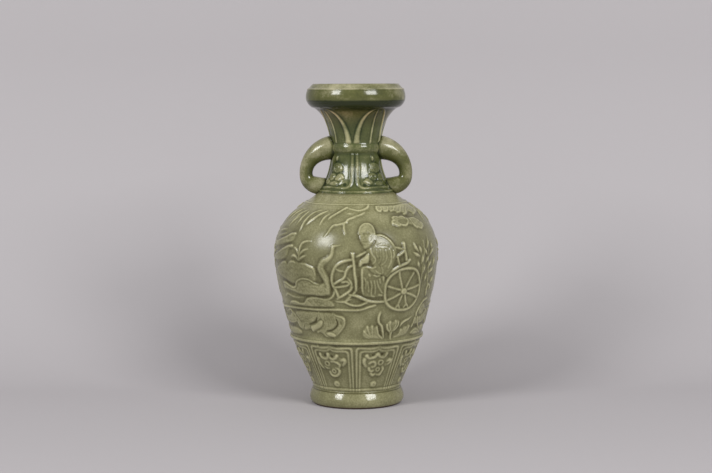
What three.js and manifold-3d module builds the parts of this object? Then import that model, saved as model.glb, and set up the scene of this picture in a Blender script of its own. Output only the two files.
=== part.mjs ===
import * as THREE from 'three';
import { mergeVertices } from 'three/addons/utils/BufferGeometryUtils.js';
import Module from 'manifold-3d';

// Celadon vase with two loop handles, made as a potter makes it: turned and moulded sections that
// are keyed into each other and luted with slip, with the handles luted on last.
// Millimetres, +Z up, origin at the centre of the foot's underside, front of the vase towards -Y.

// Height of each section, from the foot up
const footHeight = 16;
const bandHeight = 54.4;
const bellyHeight = 82.6;
const shoulderHeight = 59.5;
const neckHeight = 48.5;
const trumpetHeight = 36;
const dishHeight = 23;

// Outer radius of the clay at each seam and line, before its relief
const footRadius = 46.9;
const waistRadius = 43.9;
const bandTopRadius = 66.4;
const girthRadius = 82.7;
const shoulderLineRadius = 50.2;
const neckBaseRadius = 38.1;
const neckRadius = 24.3;
const ringSeamRadius = 24.6;
const rimRadius = 49.3;
const flareSetback = 5;
const lipSetback = 6.7;
const flareRadius = rimRadius - flareSetback;
const lipRadius = rimRadius - lipSetback;

// How the wall leans at both ends of each stretch (radius gained per height), and the share of the
// stretch's height over which it keeps to that lean
const bandCurve = { startLean: 0.3, startHold: 0.25, endLean: 0.3, endHold: 0.32 };
const bellyCurve = { startLean: 0.27, startHold: 0.33, endLean: 0, endHold: 0.33 };
const shoulderCurve = { startLean: 0, startHold: 0.24, endLean: -2.2, endHold: 0.6 };
const collarCurve = { startLean: -1.7, startHold: 0.31, endLean: -0.75, endHold: 0.51 };
const neckCurve = { startLean: -0.9, startHold: 0.475, endLean: 0, endHold: 0.075 };
const ringCurve = { startLean: 0, startHold: 0.35, endLean: 0.1, endHold: 0.35 };
const trumpetCurve = { startLean: 0.12, startHold: 0.22, endLean: 2, endHold: 0.47 };

// Walls and seams
const wallThickness = 5.5;
const lipThickness = 6.5;
const keyHeight = 2.6;
const slipGap = 0.3;

// Foot ring and floor
const footEdgeWidth = 6.2;
const footEdgeFlare = 1.5;
const footBevel = 1.4;
const footBulge = 0.6;
const footLowHold = 0.22;
const footHighHold = 0.7;
const footRecess = 9;
const ledgeWidth = 2.6;
const floorThickness = 7;
const floorDip = 1.5;
const floorDishShare = 0.55;
const floorDishDip = 1.2;

// Moulded panels of the lower band: a groove between two double frames at each divider
const panelCount = 8;
const panelTurn = -2.3;
const panelFrameHeight = 1.1;
const panelGrooveDepth = 0.6;
const panelSill = 2.6;
const panelHead = 7.5;
const panelHeadWidth = 2.2;

// Places and widths of the groove and the frames of a panel, in degrees from its divider
const panelGrooveWidth = 2.6;
const panelOuterFrame = 2.5;
const panelOuterFrameWidth = 2.4;
const panelInnerFrame = 5.3;
const panelInnerFrameWidth = 2.8;

// Raised lines that run round the vase
const filletHeight = 1.3;
const filletWidth = 3;
const shoulderLineRise = 0.9;
const shoulderLineWidth = 2;
const shoulderLineDrop = 9.8;
const baseRingHeight = 0.8;
const baseRingWidth = 4;
const neckRingHeight = 0.9;
const neckRingWidth = 8.5;

// Moulded panels of the neck, and the banana leaves of the trumpet
const neckPanelCount = 4;
const neckPanelTurn = -2.6;
const neckFrameHeight = 0.7;
const neckFrame = 4.5;
const neckFrameWidth = 8;
const neckPanelSill = 6.5;
const neckPanelHead = 12;
const leafCount = 4;
const leafTurn = 35.5;
const leafHalfAngle = 34;
const leafLength = 35;
const leafEdgeHeight = 0.8;
const leafEdge = 0.9;
const leafEdgeWidth = 0.2;
const leafTipAngle = 5;
const leafTaper = 1.4;
const leafGapDepth = 0.5;
const leafGapFade = 6;

// Dish mouth: its upright wall, and the turns of its underside and its lip
const dishWallFoot = 8.3;
const dishWallHead = 14.3;
const dishTurn = 3.8;
const rimLean = 0.2;
const lipTurn = 3.6;
const lipCrown = 2.4;
const lipBead = 2;
const lipBeadDepth = 3;
const lipUndercut = 1.2;

// Loop handles: the centre line's reach, the heights of its roots and bend, and its thickness
const handleReach = 49.8;
const handleThickness = 13.2;
const upperRootThickness = 24.6;
const lowerRootThickness = 15.4;
const upperRootDrop = 4.2;
const handleBendRise = 18.5;
const lowerRootRise = 5.1;
const lowerRootDepth = 8;
const upperHold = 0.62;
const bendHold = 0.5;
const lowerHold = 0.6;
const lowerTurnSetback = 4.8;
const lowerTurnRise = 0.7;

const ringColumns = 48;
const curveRows = 7;
const handleSides = 10;
const handleSteps = 18;

const glaze = { color: 0x8d9463, roughness: 0.22, metalness: 0 };
const deepGlaze = { color: 0x66763a, roughness: 0.2, metalness: 0 };
const paleGlaze = { color: 0x858c56, roughness: 0.2, metalness: 0 };

const footTop = footHeight;
const bandTop = footTop + bandHeight;
const girth = bandTop + bellyHeight;
const neckBase = girth + shoulderHeight;
const ringTop = neckBase + neckHeight;
const flareTop = ringTop + trumpetHeight;
const rimTop = flareTop + dishHeight;
const shoulderLine = neckBase - shoulderLineDrop;

// One stretch of the outer wall
function stretch(start, end, curve) {
  const height = end.y - start.y;
  const leave = new THREE.Vector2(curve.startLean, 1).setLength(curve.startHold * height);
  const arrive = new THREE.Vector2(curve.endLean, 1).setLength(curve.endHold * height);
  return new THREE.CubicBezierCurve(start, start.clone().add(leave), end.clone().sub(arrive), end);
}

const waistPoint = new THREE.Vector2(waistRadius, footTop);
const bandTopPoint = new THREE.Vector2(bandTopRadius, bandTop);
const girthPoint = new THREE.Vector2(girthRadius, girth);
const shoulderLinePoint = new THREE.Vector2(shoulderLineRadius, shoulderLine);
const neckBasePoint = new THREE.Vector2(neckBaseRadius, neckBase);
const ringFoot = new THREE.Vector2(neckRadius, ringTop - neckRingWidth);
const ringSeamPoint = new THREE.Vector2(ringSeamRadius, ringTop);
const flarePoint = new THREE.Vector2(flareRadius, flareTop);

const outerWall = new THREE.CurvePath();
outerWall.add(stretch(waistPoint, bandTopPoint, bandCurve));
outerWall.add(stretch(bandTopPoint, girthPoint, bellyCurve));
outerWall.add(stretch(girthPoint, shoulderLinePoint, shoulderCurve));
outerWall.add(stretch(shoulderLinePoint, neckBasePoint, collarCurve));
outerWall.add(stretch(neckBasePoint, ringFoot, neckCurve));
outerWall.add(stretch(ringFoot, ringSeamPoint, ringCurve));
outerWall.add(stretch(ringSeamPoint, flarePoint, trumpetCurve));

// Points of the wall's outer face and of its inner face, one wall thickness in from it
const wallSteps = 60;
const outerPoints = [];
const innerPoints = [];
for (const curve of outerWall.curves) {
  for (let step = 0; step <= wallSteps; step++) {
    const point = curve.getPoint(step / wallSteps);
    const along = curve.getTangent(step / wallSteps);
    const inward = new THREE.Vector2(-along.y, along.x).multiplyScalar(wallThickness);
    outerPoints.push(point);
    innerPoints.push(point.clone().add(inward));
  }
}
innerPoints.sort((a, b) => a.y - b.y);

function radiusAt(points, height) {
  for (let i = 1; i < points.length; i++) {
    const below = points[i - 1];
    const above = points[i];
    if (height <= above.y && above.y > below.y) {
      const share = Math.max(0, (height - below.y) / (above.y - below.y));
      return THREE.MathUtils.lerp(below.x, above.x, share);
    }
  }
  return points[points.length - 1].x;
}

const outerAt = (height) => radiusAt(outerPoints, height);
const innerAt = (height) => radiusAt(innerPoints, height);

// The key at a seam stands in the middle of the wall that the two sections share
function keyRadiusAt(height) {
  const inside = Math.max(innerAt(height), innerAt(height + keyHeight));
  const outside = Math.min(outerAt(height), outerAt(height + keyHeight));
  return (inside + outside) / 2;
}

// Height of a rounded ridge that is as wide as given, at some distance from its middle
function ridge(distance, width) {
  const share = Math.abs(distance) / (width / 2);
  return share >= 1 ? 0 : 0.5 + 0.5 * Math.cos(Math.PI * share);
}

const evenColumns = (count) => Array.from({ length: count }, (_, i) => (360 * i) / count);

// Turn a closed outline about Z. Each of its points has a radius r, a height z and, on a moulded
// face, columns (the azimuths of its points, in degrees from the front) and a relief.
function turned(outline, columnCount, material, name) {
  const points = outline.map((row) => new THREE.Vector2(row.r, row.z));
  const lathe = new THREE.LatheGeometry(points, columnCount);
  const position = lathe.attributes.position;
  const even = evenColumns(columnCount);
  for (let column = 0; column <= columnCount; column++) {
    for (let i = 0; i < outline.length; i++) {
      const row = outline[i];
      const place = column % columnCount;
      const azimuth = row.columns ? row.columns(row.z)[place] : even[place];
      const radius = row.r + (row.relief ? row.relief(azimuth, row.z) : 0);
      const turn = THREE.MathUtils.degToRad(azimuth);
      const x = radius * Math.sin(turn);
      const y = -radius * Math.cos(turn);
      position.setXYZ(column * outline.length + i, x, y, row.z);
    }
  }
  return finished(lathe, material, name);
}

// The faces that keep three separate corners once the points at a pole are merged
function realFaces(corners) {
  const faces = [];
  for (let i = 0; i < corners.length; i += 3) {
    const [a, b, c] = corners.slice(i, i + 3);
    if (a !== b && b !== c && c !== a) {
      faces.push(a, b, c);
    }
  }
  return faces;
}

function finished(geometry, material, name) {
  geometry.deleteAttribute('normal');
  geometry.deleteAttribute('uv');
  const closed = mergeVertices(geometry, 1e-4);
  closed.setIndex(realFaces(Array.from(closed.index.array)));
  closed.computeVertexNormals();
  const mesh = new THREE.Mesh(closed, new THREE.MeshStandardMaterial(material));
  mesh.name = name;
  return mesh;
}

// Rows of the outer face between two seams, at given heights, with the lines that run round it
function faceRows(heights, swell, columns, relief) {
  return heights.map((z) => ({ r: outerAt(z) + swell(z), z, columns, relief }));
}

const evenHeights = (low, high, count) =>
  Array.from({ length: count }, (_, i) => THREE.MathUtils.lerp(low, high, i / (count - 1)));

// The seam on top of a section: a flat shoulder and a key that stands up inside it
function keyRows(height) {
  const key = keyRadiusAt(height) - slipGap;
  return [
    { r: key, z: height },
    { r: key, z: height + keyHeight },
    { r: innerAt(height + keyHeight), z: height + keyHeight },
  ];
}

// The seam under a section: a rebate that drops over the key of the section below
function rebateRows(height) {
  const top = height + keyHeight + slipGap;
  const key = keyRadiusAt(height);
  return [
    { r: innerAt(top), z: top },
    { r: key, z: top },
    { r: key, z: height },
  ];
}

function innerRows(low, high, count) {
  const bottom = low + keyHeight + slipGap;
  const top = high + keyHeight;
  return evenHeights(top, bottom, count)
    .slice(1, -1)
    .map((z) => ({ r: innerAt(z), z }));
}

// A whole section: moulded face, key, inner face and rebate, closed on its first point
function sectionOutline(low, high, face, innerCount) {
  const outline = [...face, ...keyRows(high), ...innerRows(low, high, innerCount), ...rebateRows(low)];
  return [...outline, { ...face[0] }];
}

const plain = () => 0;

// Foot ring: a bulged wall on a flat unglazed edge, with a ledge inside that carries the floor
function makeFootRing() {
  const outerEdge = waistRadius + footEdgeFlare;
  const wall = new THREE.CubicBezierCurve(
    new THREE.Vector2(outerEdge, footBevel),
    new THREE.Vector2(footRadius + footBulge, footHeight * footLowHold),
    new THREE.Vector2(footRadius + footBulge, footHeight * footHighHold),
    new THREE.Vector2(waistRadius, footTop),
  );
  const bore = innerAt(footTop);
  const flatOuter = outerEdge - footBevel;
  const flatInner = flatOuter - footEdgeWidth;
  const outline = [
    { r: flatOuter, z: 0 },
    ...wall.getPoints(6).map((point) => ({ r: point.x, z: point.y })),
    ...keyRows(footTop).slice(0, 2),
    { r: bore, z: footTop + keyHeight },
    { r: bore, z: footRecess },
    { r: bore - ledgeWidth, z: footRecess },
    { r: flatInner - footBevel, z: footBevel },
    { r: flatInner, z: 0 },
  ];
  return turned([...outline, { ...outline[0] }], ringColumns, glaze, 'foot_ring');
}

// Floor: a disc that lies on the foot ring's ledge, dished a little on top
function makeBaseDisc() {
  const radius = innerAt(footTop) - slipGap;
  const top = footRecess + floorThickness;
  const outline = [
    { r: 0, z: footRecess },
    { r: radius, z: footRecess },
    { r: radius, z: top },
    { r: radius * floorDishShare, z: top - floorDishDip },
    { r: 0, z: top - floorDip },
  ];
  return turned(outline, ringColumns, glaze, 'base_disc');
}

// Panel band: eight panels between double frames, under a raised fillet
const panelPitch = 360 / panelCount;
const panelField = panelInnerFrame + panelInnerFrameWidth / 2;
const panelColumnShifts = [
  0,
  panelOuterFrame,
  (panelOuterFrame + panelInnerFrame) / 2,
  panelInnerFrame,
  panelField,
  (panelField + panelPitch / 2) / 2,
];

function mirroredColumns(shifts, pitch, count, turn) {
  const far = shifts.slice(1).reverse().map((shift) => pitch - shift);
  const pitchShifts = [...shifts, pitch / 2, ...far];
  const onePitch = (k) => pitchShifts.map((shift) => turn + k * pitch + shift);
  return Array.from({ length: count }, (_, k) => onePitch(k)).flat();
}

function fromDivider(azimuth, pitch, turn) {
  const along = THREE.MathUtils.euclideanModulo(azimuth - turn, pitch);
  return Math.min(along, pitch - along);
}

function panelRelief(azimuth, z) {
  const sill = footTop + panelSill;
  const head = bandTop - panelHead;
  const shift = fromDivider(azimuth, panelPitch, panelTurn);
  const outerRidge = ridge(shift - panelOuterFrame, panelOuterFrameWidth);
  const innerRidge = z > head ? 0 : ridge(shift - panelInnerFrame, panelInnerFrameWidth);
  const groove = ridge(shift, panelGrooveWidth);
  if (z < sill || z > head + panelHeadWidth) {
    return 0;
  }
  const uprights = panelFrameHeight * Math.max(outerRidge, innerRidge) - panelGrooveDepth * groove;
  const onHead = shift > panelOuterFrame && z === head;
  return onHead ? panelFrameHeight : uprights;
}

function makePanelBand() {
  const sill = footTop + panelSill;
  const head = bandTop - panelHead;
  const headTop = head + panelHeadWidth;
  const filletFoot = bandTop - filletWidth;
  const heights = [
    footTop,
    footTop + panelSill / 2,
    sill,
    ...evenHeights(sill, head - panelHeadWidth, 4).slice(1),
    head,
    headTop,
    filletFoot,
    bandTop - filletWidth / 2,
    bandTop,
  ];
  const swell = (z) =>
    panelFrameHeight * ridge(z - footTop - panelSill / 2, panelSill) +
    filletHeight * ridge(z - bandTop + filletWidth / 2, filletWidth);
  const columns = mirroredColumns(panelColumnShifts, panelPitch, panelCount, panelTurn);
  const face = faceRows(heights, swell, () => columns, panelRelief);
  const outline = sectionOutline(footTop, bandTop, face, 3);
  return turned(outline, columns.length, glaze, 'panel_band');
}

// Belly: the plain wall that carries the scene, up to the widest girth
function makeBelly() {
  const face = faceRows(evenHeights(bandTop, girth, curveRows), plain);
  return turned(sectionOutline(bandTop, girth, face, 4), ringColumns, glaze, 'belly');
}

// Shoulder: from the girth in to the raised line, then the plain collar up to the neck
function makeShoulder() {
  const lineFoot = shoulderLine - shoulderLineWidth / 2;
  const lineTop = shoulderLine + shoulderLineWidth / 2;
  const heights = [
    ...evenHeights(girth, lineFoot, curveRows),
    shoulderLine,
    lineTop,
    ...evenHeights(lineTop, neckBase, 3).slice(1),
  ];
  const swell = (z) => shoulderLineRise * ridge(z - shoulderLine, shoulderLineWidth);
  const face = faceRows(heights, swell);
  return turned(sectionOutline(girth, neckBase, face, 6), ringColumns, glaze, 'shoulder');
}

// Neck: a flared base ring, four panels and a round moulding under the trumpet
const neckPanelPitch = 360 / neckPanelCount;
const neckField = neckFrame + neckFrameWidth / 2;
const neckColumnShifts = [
  0,
  neckFrame,
  neckField,
  THREE.MathUtils.lerp(neckField, neckPanelPitch / 2, 0.25),
  THREE.MathUtils.lerp(neckField, neckPanelPitch / 2, 0.5),
  THREE.MathUtils.lerp(neckField, neckPanelPitch / 2, 0.75),
];

function neckRelief(azimuth, z) {
  const sill = neckBase + neckPanelSill;
  const head = ringTop - neckPanelHead;
  if (z < sill || z > head) {
    return 0;
  }
  const shift = fromDivider(azimuth, neckPanelPitch, neckPanelTurn);
  return neckFrameHeight * ridge(shift - neckFrame, neckFrameWidth);
}

function neckHeights() {
  const sill = neckBase + neckPanelSill;
  const head = ringTop - neckPanelHead;
  const ringLow = ringTop - neckRingWidth;
  return [
    neckBase,
    neckBase + baseRingWidth / 2,
    neckBase + baseRingWidth,
    ...evenHeights(sill, head, 4),
    ...evenHeights(ringLow, ringTop, 4),
  ];
}

function neckSwell(z) {
  const baseRing = baseRingHeight * ridge(z - neckBase - baseRingWidth / 2, baseRingWidth);
  const neckRing = neckRingHeight * ridge(z - ringTop + neckRingWidth / 2, neckRingWidth);
  return baseRing + neckRing;
}

const neckColumns = mirroredColumns(neckColumnShifts, neckPanelPitch, neckPanelCount, neckPanelTurn);

function neckFace() {
  return faceRows(neckHeights(), neckSwell, () => neckColumns, neckRelief);
}

function makeNeck() {
  const outline = sectionOutline(neckBase, ringTop, neckFace(), 4);
  return turned(outline, neckColumns.length, deepGlaze, 'neck_panels');
}

// Trumpet: four banana leaves with raised edges, and a sunk gap between them. The columns of the
// moulding follow the leaves' edges as these draw in to their tips.
const leafPitch = 360 / leafCount;
const leafShares = [0, leafEdge / 3, (leafEdge * 2) / 3, leafEdge - leafEdgeWidth / 2, leafEdge, 1];

function leafAngleAt(z) {
  const climb = THREE.MathUtils.clamp((z - ringTop) / leafLength, 0, 1);
  return Math.max(leafTipAngle, leafHalfAngle * Math.sqrt(1 - Math.pow(climb, leafTaper)));
}

function leafColumns(z) {
  const halfAngle = leafAngleAt(z);
  const shifts = leafShares.map((share) => share * halfAngle);
  shifts.push((halfAngle + leafPitch / 2) / 2);
  return mirroredColumns(shifts, leafPitch, leafCount, leafTurn);
}

// Columns at the leaf's very edge have a share of 1, give or take a rounding error
const pastEdge = 1.02;

function leafRelief(azimuth, z) {
  const halfAngle = leafAngleAt(z);
  const share = fromDivider(azimuth, leafPitch, leafTurn) / halfAngle;
  if (halfAngle <= leafTipAngle) {
    return 0;
  }
  if (share > pastEdge) {
    return -leafGapDepth * THREE.MathUtils.smoothstep(ringTop + leafLength - z, 0, leafGapFade);
  }
  return leafEdgeHeight * ridge(share - leafEdge, leafEdgeWidth);
}

function trumpetFace() {
  const tip = ringTop + leafLength;
  const heights = [...evenHeights(ringTop, tip, 8), flareTop];
  return faceRows(heights, plain, leafColumns, leafRelief);
}

function makeTrumpet() {
  const outline = sectionOutline(ringTop, flareTop, trumpetFace(), 5);
  return turned(outline, leafColumns(ringTop).length, deepGlaze, 'neck_trumpet');
}

// Dish mouth: the flared underside, an upright wall and a lip that leans in
function makeDishMouth() {
  const wallFoot = flareTop + dishWallFoot;
  const wallHead = flareTop + dishWallHead;
  const turnTop = flareTop + dishTurn;
  const outside = new THREE.Path();
  outside.moveTo(flareRadius, flareTop);
  const turn = dishTurn / 2;
  outside.bezierCurveTo(rimRadius - turn, flareTop + turn, rimRadius, turnTop, rimRadius, wallFoot);
  outside.lineTo(rimRadius - rimLean, wallHead);
  const brow = rimRadius - 3 * rimLean;
  outside.bezierCurveTo(brow, rimTop - lipTurn, lipRadius + lipCrown, rimTop, lipRadius, rimTop);
  const top = flareTop + keyHeight + slipGap;
  const shelf = innerAt(top);
  const bead = lipRadius - lipBead;
  const bore = rimRadius - lipThickness;
  const inside = new THREE.Path();
  inside.moveTo(lipRadius, rimTop);
  inside.bezierCurveTo(bead, rimTop, bead, rimTop - lipBeadDepth, lipRadius - lipUndercut, wallHead);
  inside.bezierCurveTo(bore, wallFoot, bore, wallFoot - 1, shelf, top);
  const asRow = (point) => ({ r: point.x, z: point.y });
  const outline = [
    ...outside.getPoints(4).map(asRow),
    ...inside.getPoints(3).slice(1).map(asRow),
    ...rebateRows(flareTop).slice(1),
  ];
  return turned([...outline, { ...outline[0] }], ringColumns, paleGlaze, 'dish_mouth');
}

// Loop handles: a coil that swells into its upper root and butts on the flared neck below
const wasm = await Module();
wasm.setup();

function solidOf(mesh) {
  const vertProperties = new Float32Array(mesh.geometry.attributes.position.array);
  const triVerts = new Uint32Array(mesh.geometry.index.array);
  return new wasm.Manifold(new wasm.Mesh({ numProp: 3, vertProperties, triVerts }));
}

// The outside of a section, grown by the slip gap and filled to the axis, to cut the roots with
function rootCutter(face, columnCount) {
  const first = face[0];
  const last = face[face.length - 1];
  const grown = face.map((row) => ({ ...row, r: row.r + slipGap }));
  const outline = [
    { r: 0, z: first.z - wallThickness },
    ...grown,
    { r: 0, z: last.z + wallThickness },
  ];
  return solidOf(turned(outline, columnCount, deepGlaze, 'root_cutter'));
}

const ease = (share) => 0.5 - 0.5 * Math.cos(Math.PI * THREE.MathUtils.clamp(share, 0, 1));

function handleCoil() {
  const topZ = ringTop - upperRootDrop;
  const bendZ = neckBase + handleBendRise;
  const lowZ = neckBase + lowerRootRise;
  const inside = neckRadius - wallThickness;
  const upperReach = handleReach - inside;
  const path = new THREE.CurvePath();
  path.add(new THREE.CubicBezierCurve3(
    new THREE.Vector3(inside, 0, topZ),
    new THREE.Vector3(inside + upperReach * upperHold, 0, topZ),
    new THREE.Vector3(handleReach, 0, bendZ + (topZ - bendZ) * bendHold),
    new THREE.Vector3(handleReach, 0, bendZ),
  ));
  path.add(new THREE.CubicBezierCurve3(
    new THREE.Vector3(handleReach, 0, bendZ),
    new THREE.Vector3(handleReach, 0, bendZ - (bendZ - lowZ) * lowerHold),
    new THREE.Vector3(handleReach - lowerTurnSetback, 0, lowZ + lowerTurnRise),
    new THREE.Vector3(neckBaseRadius - lowerRootDepth, 0, lowZ),
  ));
  const lengths = path.getCurveLengths();
  const bendShare = lengths[0] / lengths[1];
  const coil = new THREE.CylinderGeometry(1, 1, 1, handleSides, handleSteps);
  const position = coil.attributes.position;
  for (let i = 0; i < position.count; i++) {
    const share = THREE.MathUtils.clamp(0.5 - position.getY(i), 0, 1);
    const centre = path.getPointAt(share);
    const along = path.getTangentAt(share);
    const across = new THREE.Vector3(along.z, 0, -along.x);
    const upper = (upperRootThickness - handleThickness) * ease(1 - share / bendShare);
    const lower = (lowerRootThickness - handleThickness) * ease((share - bendShare) / (1 - bendShare));
    const radius = (handleThickness + upper + lower) / 2;
    centre.addScaledVector(across, radius * position.getX(i));
    centre.y += radius * position.getZ(i);
    position.setXYZ(i, centre.x, centre.y, centre.z);
  }
  coil.deleteAttribute('normal');
  coil.deleteAttribute('uv');
  return mergeVertices(coil, 1e-4);
}

function makeHandle(quarterTurns, name) {
  const coil = handleCoil();
  coil.rotateZ(quarterTurns * Math.PI / 2);
  const collarFace = faceRows(evenHeights(shoulderLine, neckBase, 5), plain);
  const cut = solidOf({ geometry: coil })
    .subtract(rootCutter(neckFace(), neckColumns.length))
    .subtract(rootCutter(trumpetFace(), leafColumns(ringTop).length))
    .subtract(rootCutter(collarFace, ringColumns));
  const mesh = cut.getMesh();
  const geometry = new THREE.BufferGeometry();
  geometry.setAttribute('position', new THREE.BufferAttribute(new Float32Array(mesh.vertProperties), 3));
  geometry.setIndex(new THREE.BufferAttribute(new Uint32Array(mesh.triVerts), 1));
  return finished(geometry, paleGlaze, name);
}

const vase = new THREE.Group();
vase.add(
  makeFootRing(),
  makeBaseDisc(),
  makePanelBand(),
  makeBelly(),
  makeShoulder(),
  makeNeck(),
  makeTrumpet(),
  makeDishMouth(),
  makeHandle(0, 'handle_right'),
  makeHandle(2, 'handle_left'),
);

export default vase;
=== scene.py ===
from math import cos, pi, radians, sin
import bpy
import numpy as np
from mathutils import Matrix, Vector


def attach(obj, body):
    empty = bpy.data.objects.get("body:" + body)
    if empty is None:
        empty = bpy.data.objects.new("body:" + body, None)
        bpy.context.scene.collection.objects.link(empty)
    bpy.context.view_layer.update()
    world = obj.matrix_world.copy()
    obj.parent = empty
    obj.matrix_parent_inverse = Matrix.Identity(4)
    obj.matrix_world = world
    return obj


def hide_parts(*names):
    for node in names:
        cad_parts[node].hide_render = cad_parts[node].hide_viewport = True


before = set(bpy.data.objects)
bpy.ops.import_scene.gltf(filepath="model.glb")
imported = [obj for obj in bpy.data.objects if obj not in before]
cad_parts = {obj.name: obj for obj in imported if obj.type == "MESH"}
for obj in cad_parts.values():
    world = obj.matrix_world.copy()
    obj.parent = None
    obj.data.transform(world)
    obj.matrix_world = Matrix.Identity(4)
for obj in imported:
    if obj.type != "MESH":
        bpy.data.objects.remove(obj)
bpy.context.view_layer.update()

scene = bpy.context.scene
scene.view_settings.view_transform = "Standard"

# Foot ring: a turned ring of clay that the vase stands on. It is glazed down to its edge, which
# was wiped clean before firing and has burnt to a dark brown.
# Outlines are (radius, height) points in millimetres, and azimuths run in degrees from the front.
MM = 0.001
FOOT_TOP = 16
LEDGE = 9
GLAZE_EDGE = 1.7
BURNT_BROWN = (0.06, 0.032, 0.018)
MERGE_GAP = 0.001


def smoothstep(low, high, value):
    """0 at low and 1 at high, with a soft start and end"""
    share = np.clip((value - low) / (high - low), 0, 1)
    return share * share * (3 - 2 * share)


def arc(start, start_hold, end_hold, end, steps):
    """A smooth bend from start to end, drawn towards the two holds"""
    share = np.linspace(0, 1, steps + 1)[:, None]
    corners = [np.array(point, float) for point in (start, start_hold, end_hold, end)]
    weights = [(1 - share) ** 3, 3 * share * (1 - share) ** 2, 3 * share**2 * (1 - share), share**3]
    return sum(weight * corner for weight, corner in zip(weights, corners))


def smoothed():
    """Turn the faces of the piece in hand outward and shade its gentle bends smooth"""
    bpy.ops.object.mode_set(mode="EDIT")
    bpy.ops.mesh.select_all(action="SELECT")
    bpy.ops.mesh.normals_make_consistent(inside=False)
    bpy.ops.object.mode_set(mode="OBJECT")
    bpy.ops.object.shade_smooth_by_angle(angle=radians(60))


def turned(name, outline, columns):
    """Spin a closed outline round the vase's axis, as on a potter's wheel"""
    bpy.ops.object.select_all(action="DESELECT")
    bpy.ops.mesh.primitive_circle_add(vertices=len(outline), location=(0, 0, 0))
    piece = bpy.context.object
    piece.name = piece.data.name = name
    for vertex, (radius, height) in zip(piece.data.vertices, outline):
        vertex.co = (0, -radius * MM, height * MM)
    bpy.ops.object.modifier_add(type="SCREW")
    spin = piece.modifiers[0]
    spin.steps = spin.render_steps = columns
    spin.use_merge_vertices = True
    spin.merge_threshold = MERGE_GAP * MM
    bpy.ops.object.modifier_apply(modifier=spin.name)
    smoothed()
    return piece


def vertex_places(piece):
    """Where the vertices of a piece stand, in millimetres"""
    places = np.empty(len(piece.data.vertices) * 3)
    piece.data.vertices.foreach_get("co", places)
    return places.reshape(-1, 3) / MM


def glaze(name, pool_and_shade, ground, thin, rough, mottle=0.4, speckle=0.3):
    """Celadon glaze: dark where it pools in the hollows, pale where it thins over an edge, and in places
    darker or paler as painted shade and painted light
    """
    material = bpy.data.materials.new(name)
    material.use_nodes = True
    nodes, links = material.node_tree.nodes, material.node_tree.links
    shader = nodes["Principled BSDF"]
    shader.inputs["IOR"].default_value = 1.5
    shader.inputs["Roughness"].default_value = rough
    shader.inputs["Specular IOR Level"].default_value = 0.4
    place = nodes.new("ShaderNodeTexCoord")

    def noise(scale, detail):
        texture = nodes.new("ShaderNodeTexNoise")
        texture.inputs["Scale"].default_value = scale
        texture.inputs["Detail"].default_value = detail
        links.new(place.outputs["Object"], texture.inputs["Vector"])
        return texture.outputs["Fac"]

    clouds, flecks = noise(scale=60, detail=4), noise(scale=620, detail=3)
    depth = nodes.new("ShaderNodeAttribute")
    depth.attribute_name = "glaze_thinness_and_painted_light"
    total = depth.outputs["Fac"]
    for pattern, swing in ((clouds, mottle), (flecks, speckle)):
        drift = nodes.new("ShaderNodeMath")
        drift.operation = "MULTIPLY_ADD"
        drift.inputs[1].default_value = swing
        drift.inputs[2].default_value = -swing / 2
        links.new(pattern, drift.inputs[0])
        summed = nodes.new("ShaderNodeMath")
        summed.operation = "ADD"
        links.new(total, summed.inputs[0])
        links.new(drift.outputs["Value"], summed.inputs[1])
        total = summed.outputs["Value"]
    ramp = nodes.new("ShaderNodeValToRGB")
    stops = ramp.color_ramp.elements
    stops.new(0.5)
    for stop, position, colour in zip(stops, (0.1, 0.5, 0.92), (pool_and_shade, ground, thin)):
        stop.position = position
        stop.color = (*colour, 1)
    links.new(total, ramp.inputs["Fac"])
    links.new(ramp.outputs["Color"], shader.inputs["Base Color"])
    bump = nodes.new("ShaderNodeBump")
    bump.inputs["Strength"].default_value = 0.12
    bump.inputs["Distance"].default_value = 0.6 * MM
    links.new(noise(scale=260, detail=2), bump.inputs["Height"])
    links.new(bump.outputs["Normal"], shader.inputs["Normal"])
    return material


def height_fade(material, start, end, low=0, high=1):
    """A value that goes from low at the start height to high at the end height"""
    nodes, links = material.node_tree.nodes, material.node_tree.links
    split = nodes.new("ShaderNodeSeparateXYZ")
    links.new(nodes["Texture Coordinate"].outputs["Object"], split.inputs["Vector"])
    fade = nodes.new("ShaderNodeMapRange")
    fade.inputs["From Min"].default_value = start * MM
    fade.inputs["From Max"].default_value = end * MM
    fade.inputs["To Min"].default_value = low
    fade.inputs["To Max"].default_value = high
    links.new(split.outputs["Z"], fade.inputs["Value"])
    return fade.outputs["Result"]


def tinted(material, share, colour, blend="MIX"):
    """Lay a colour over the glaze's own, by the given share"""
    nodes, links = material.node_tree.nodes, material.node_tree.links
    tint = nodes.new("ShaderNodeMix")
    tint.data_type, tint.blend_type = "RGBA", blend
    tint.inputs["B"].default_value = (*colour, 1)
    links.new(share, tint.inputs["Factor"])
    links.new(nodes["Color Ramp"].outputs["Color"], tint.inputs["A"])
    links.new(tint.outputs["Result"], nodes["Principled BSDF"].inputs["Base Color"])


def coated(piece, material, thinness=0.5):
    """Give a piece its glaze, with a share of thinness for each vertex, which in places also holds
    painted shade and painted light
    """
    layer = piece.data.attributes.new("glaze_thinness_and_painted_light", "FLOAT", "POINT")
    values = np.broadcast_to(thinness, len(piece.data.vertices))
    layer.data.foreach_set("value", np.array(values, np.float32))
    piece.data.materials.clear()
    piece.data.materials.append(material)


def stand_in(piece, node):
    """Let a piece take the place of its node in the solids"""
    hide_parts(node)
    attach(piece, "root")


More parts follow.
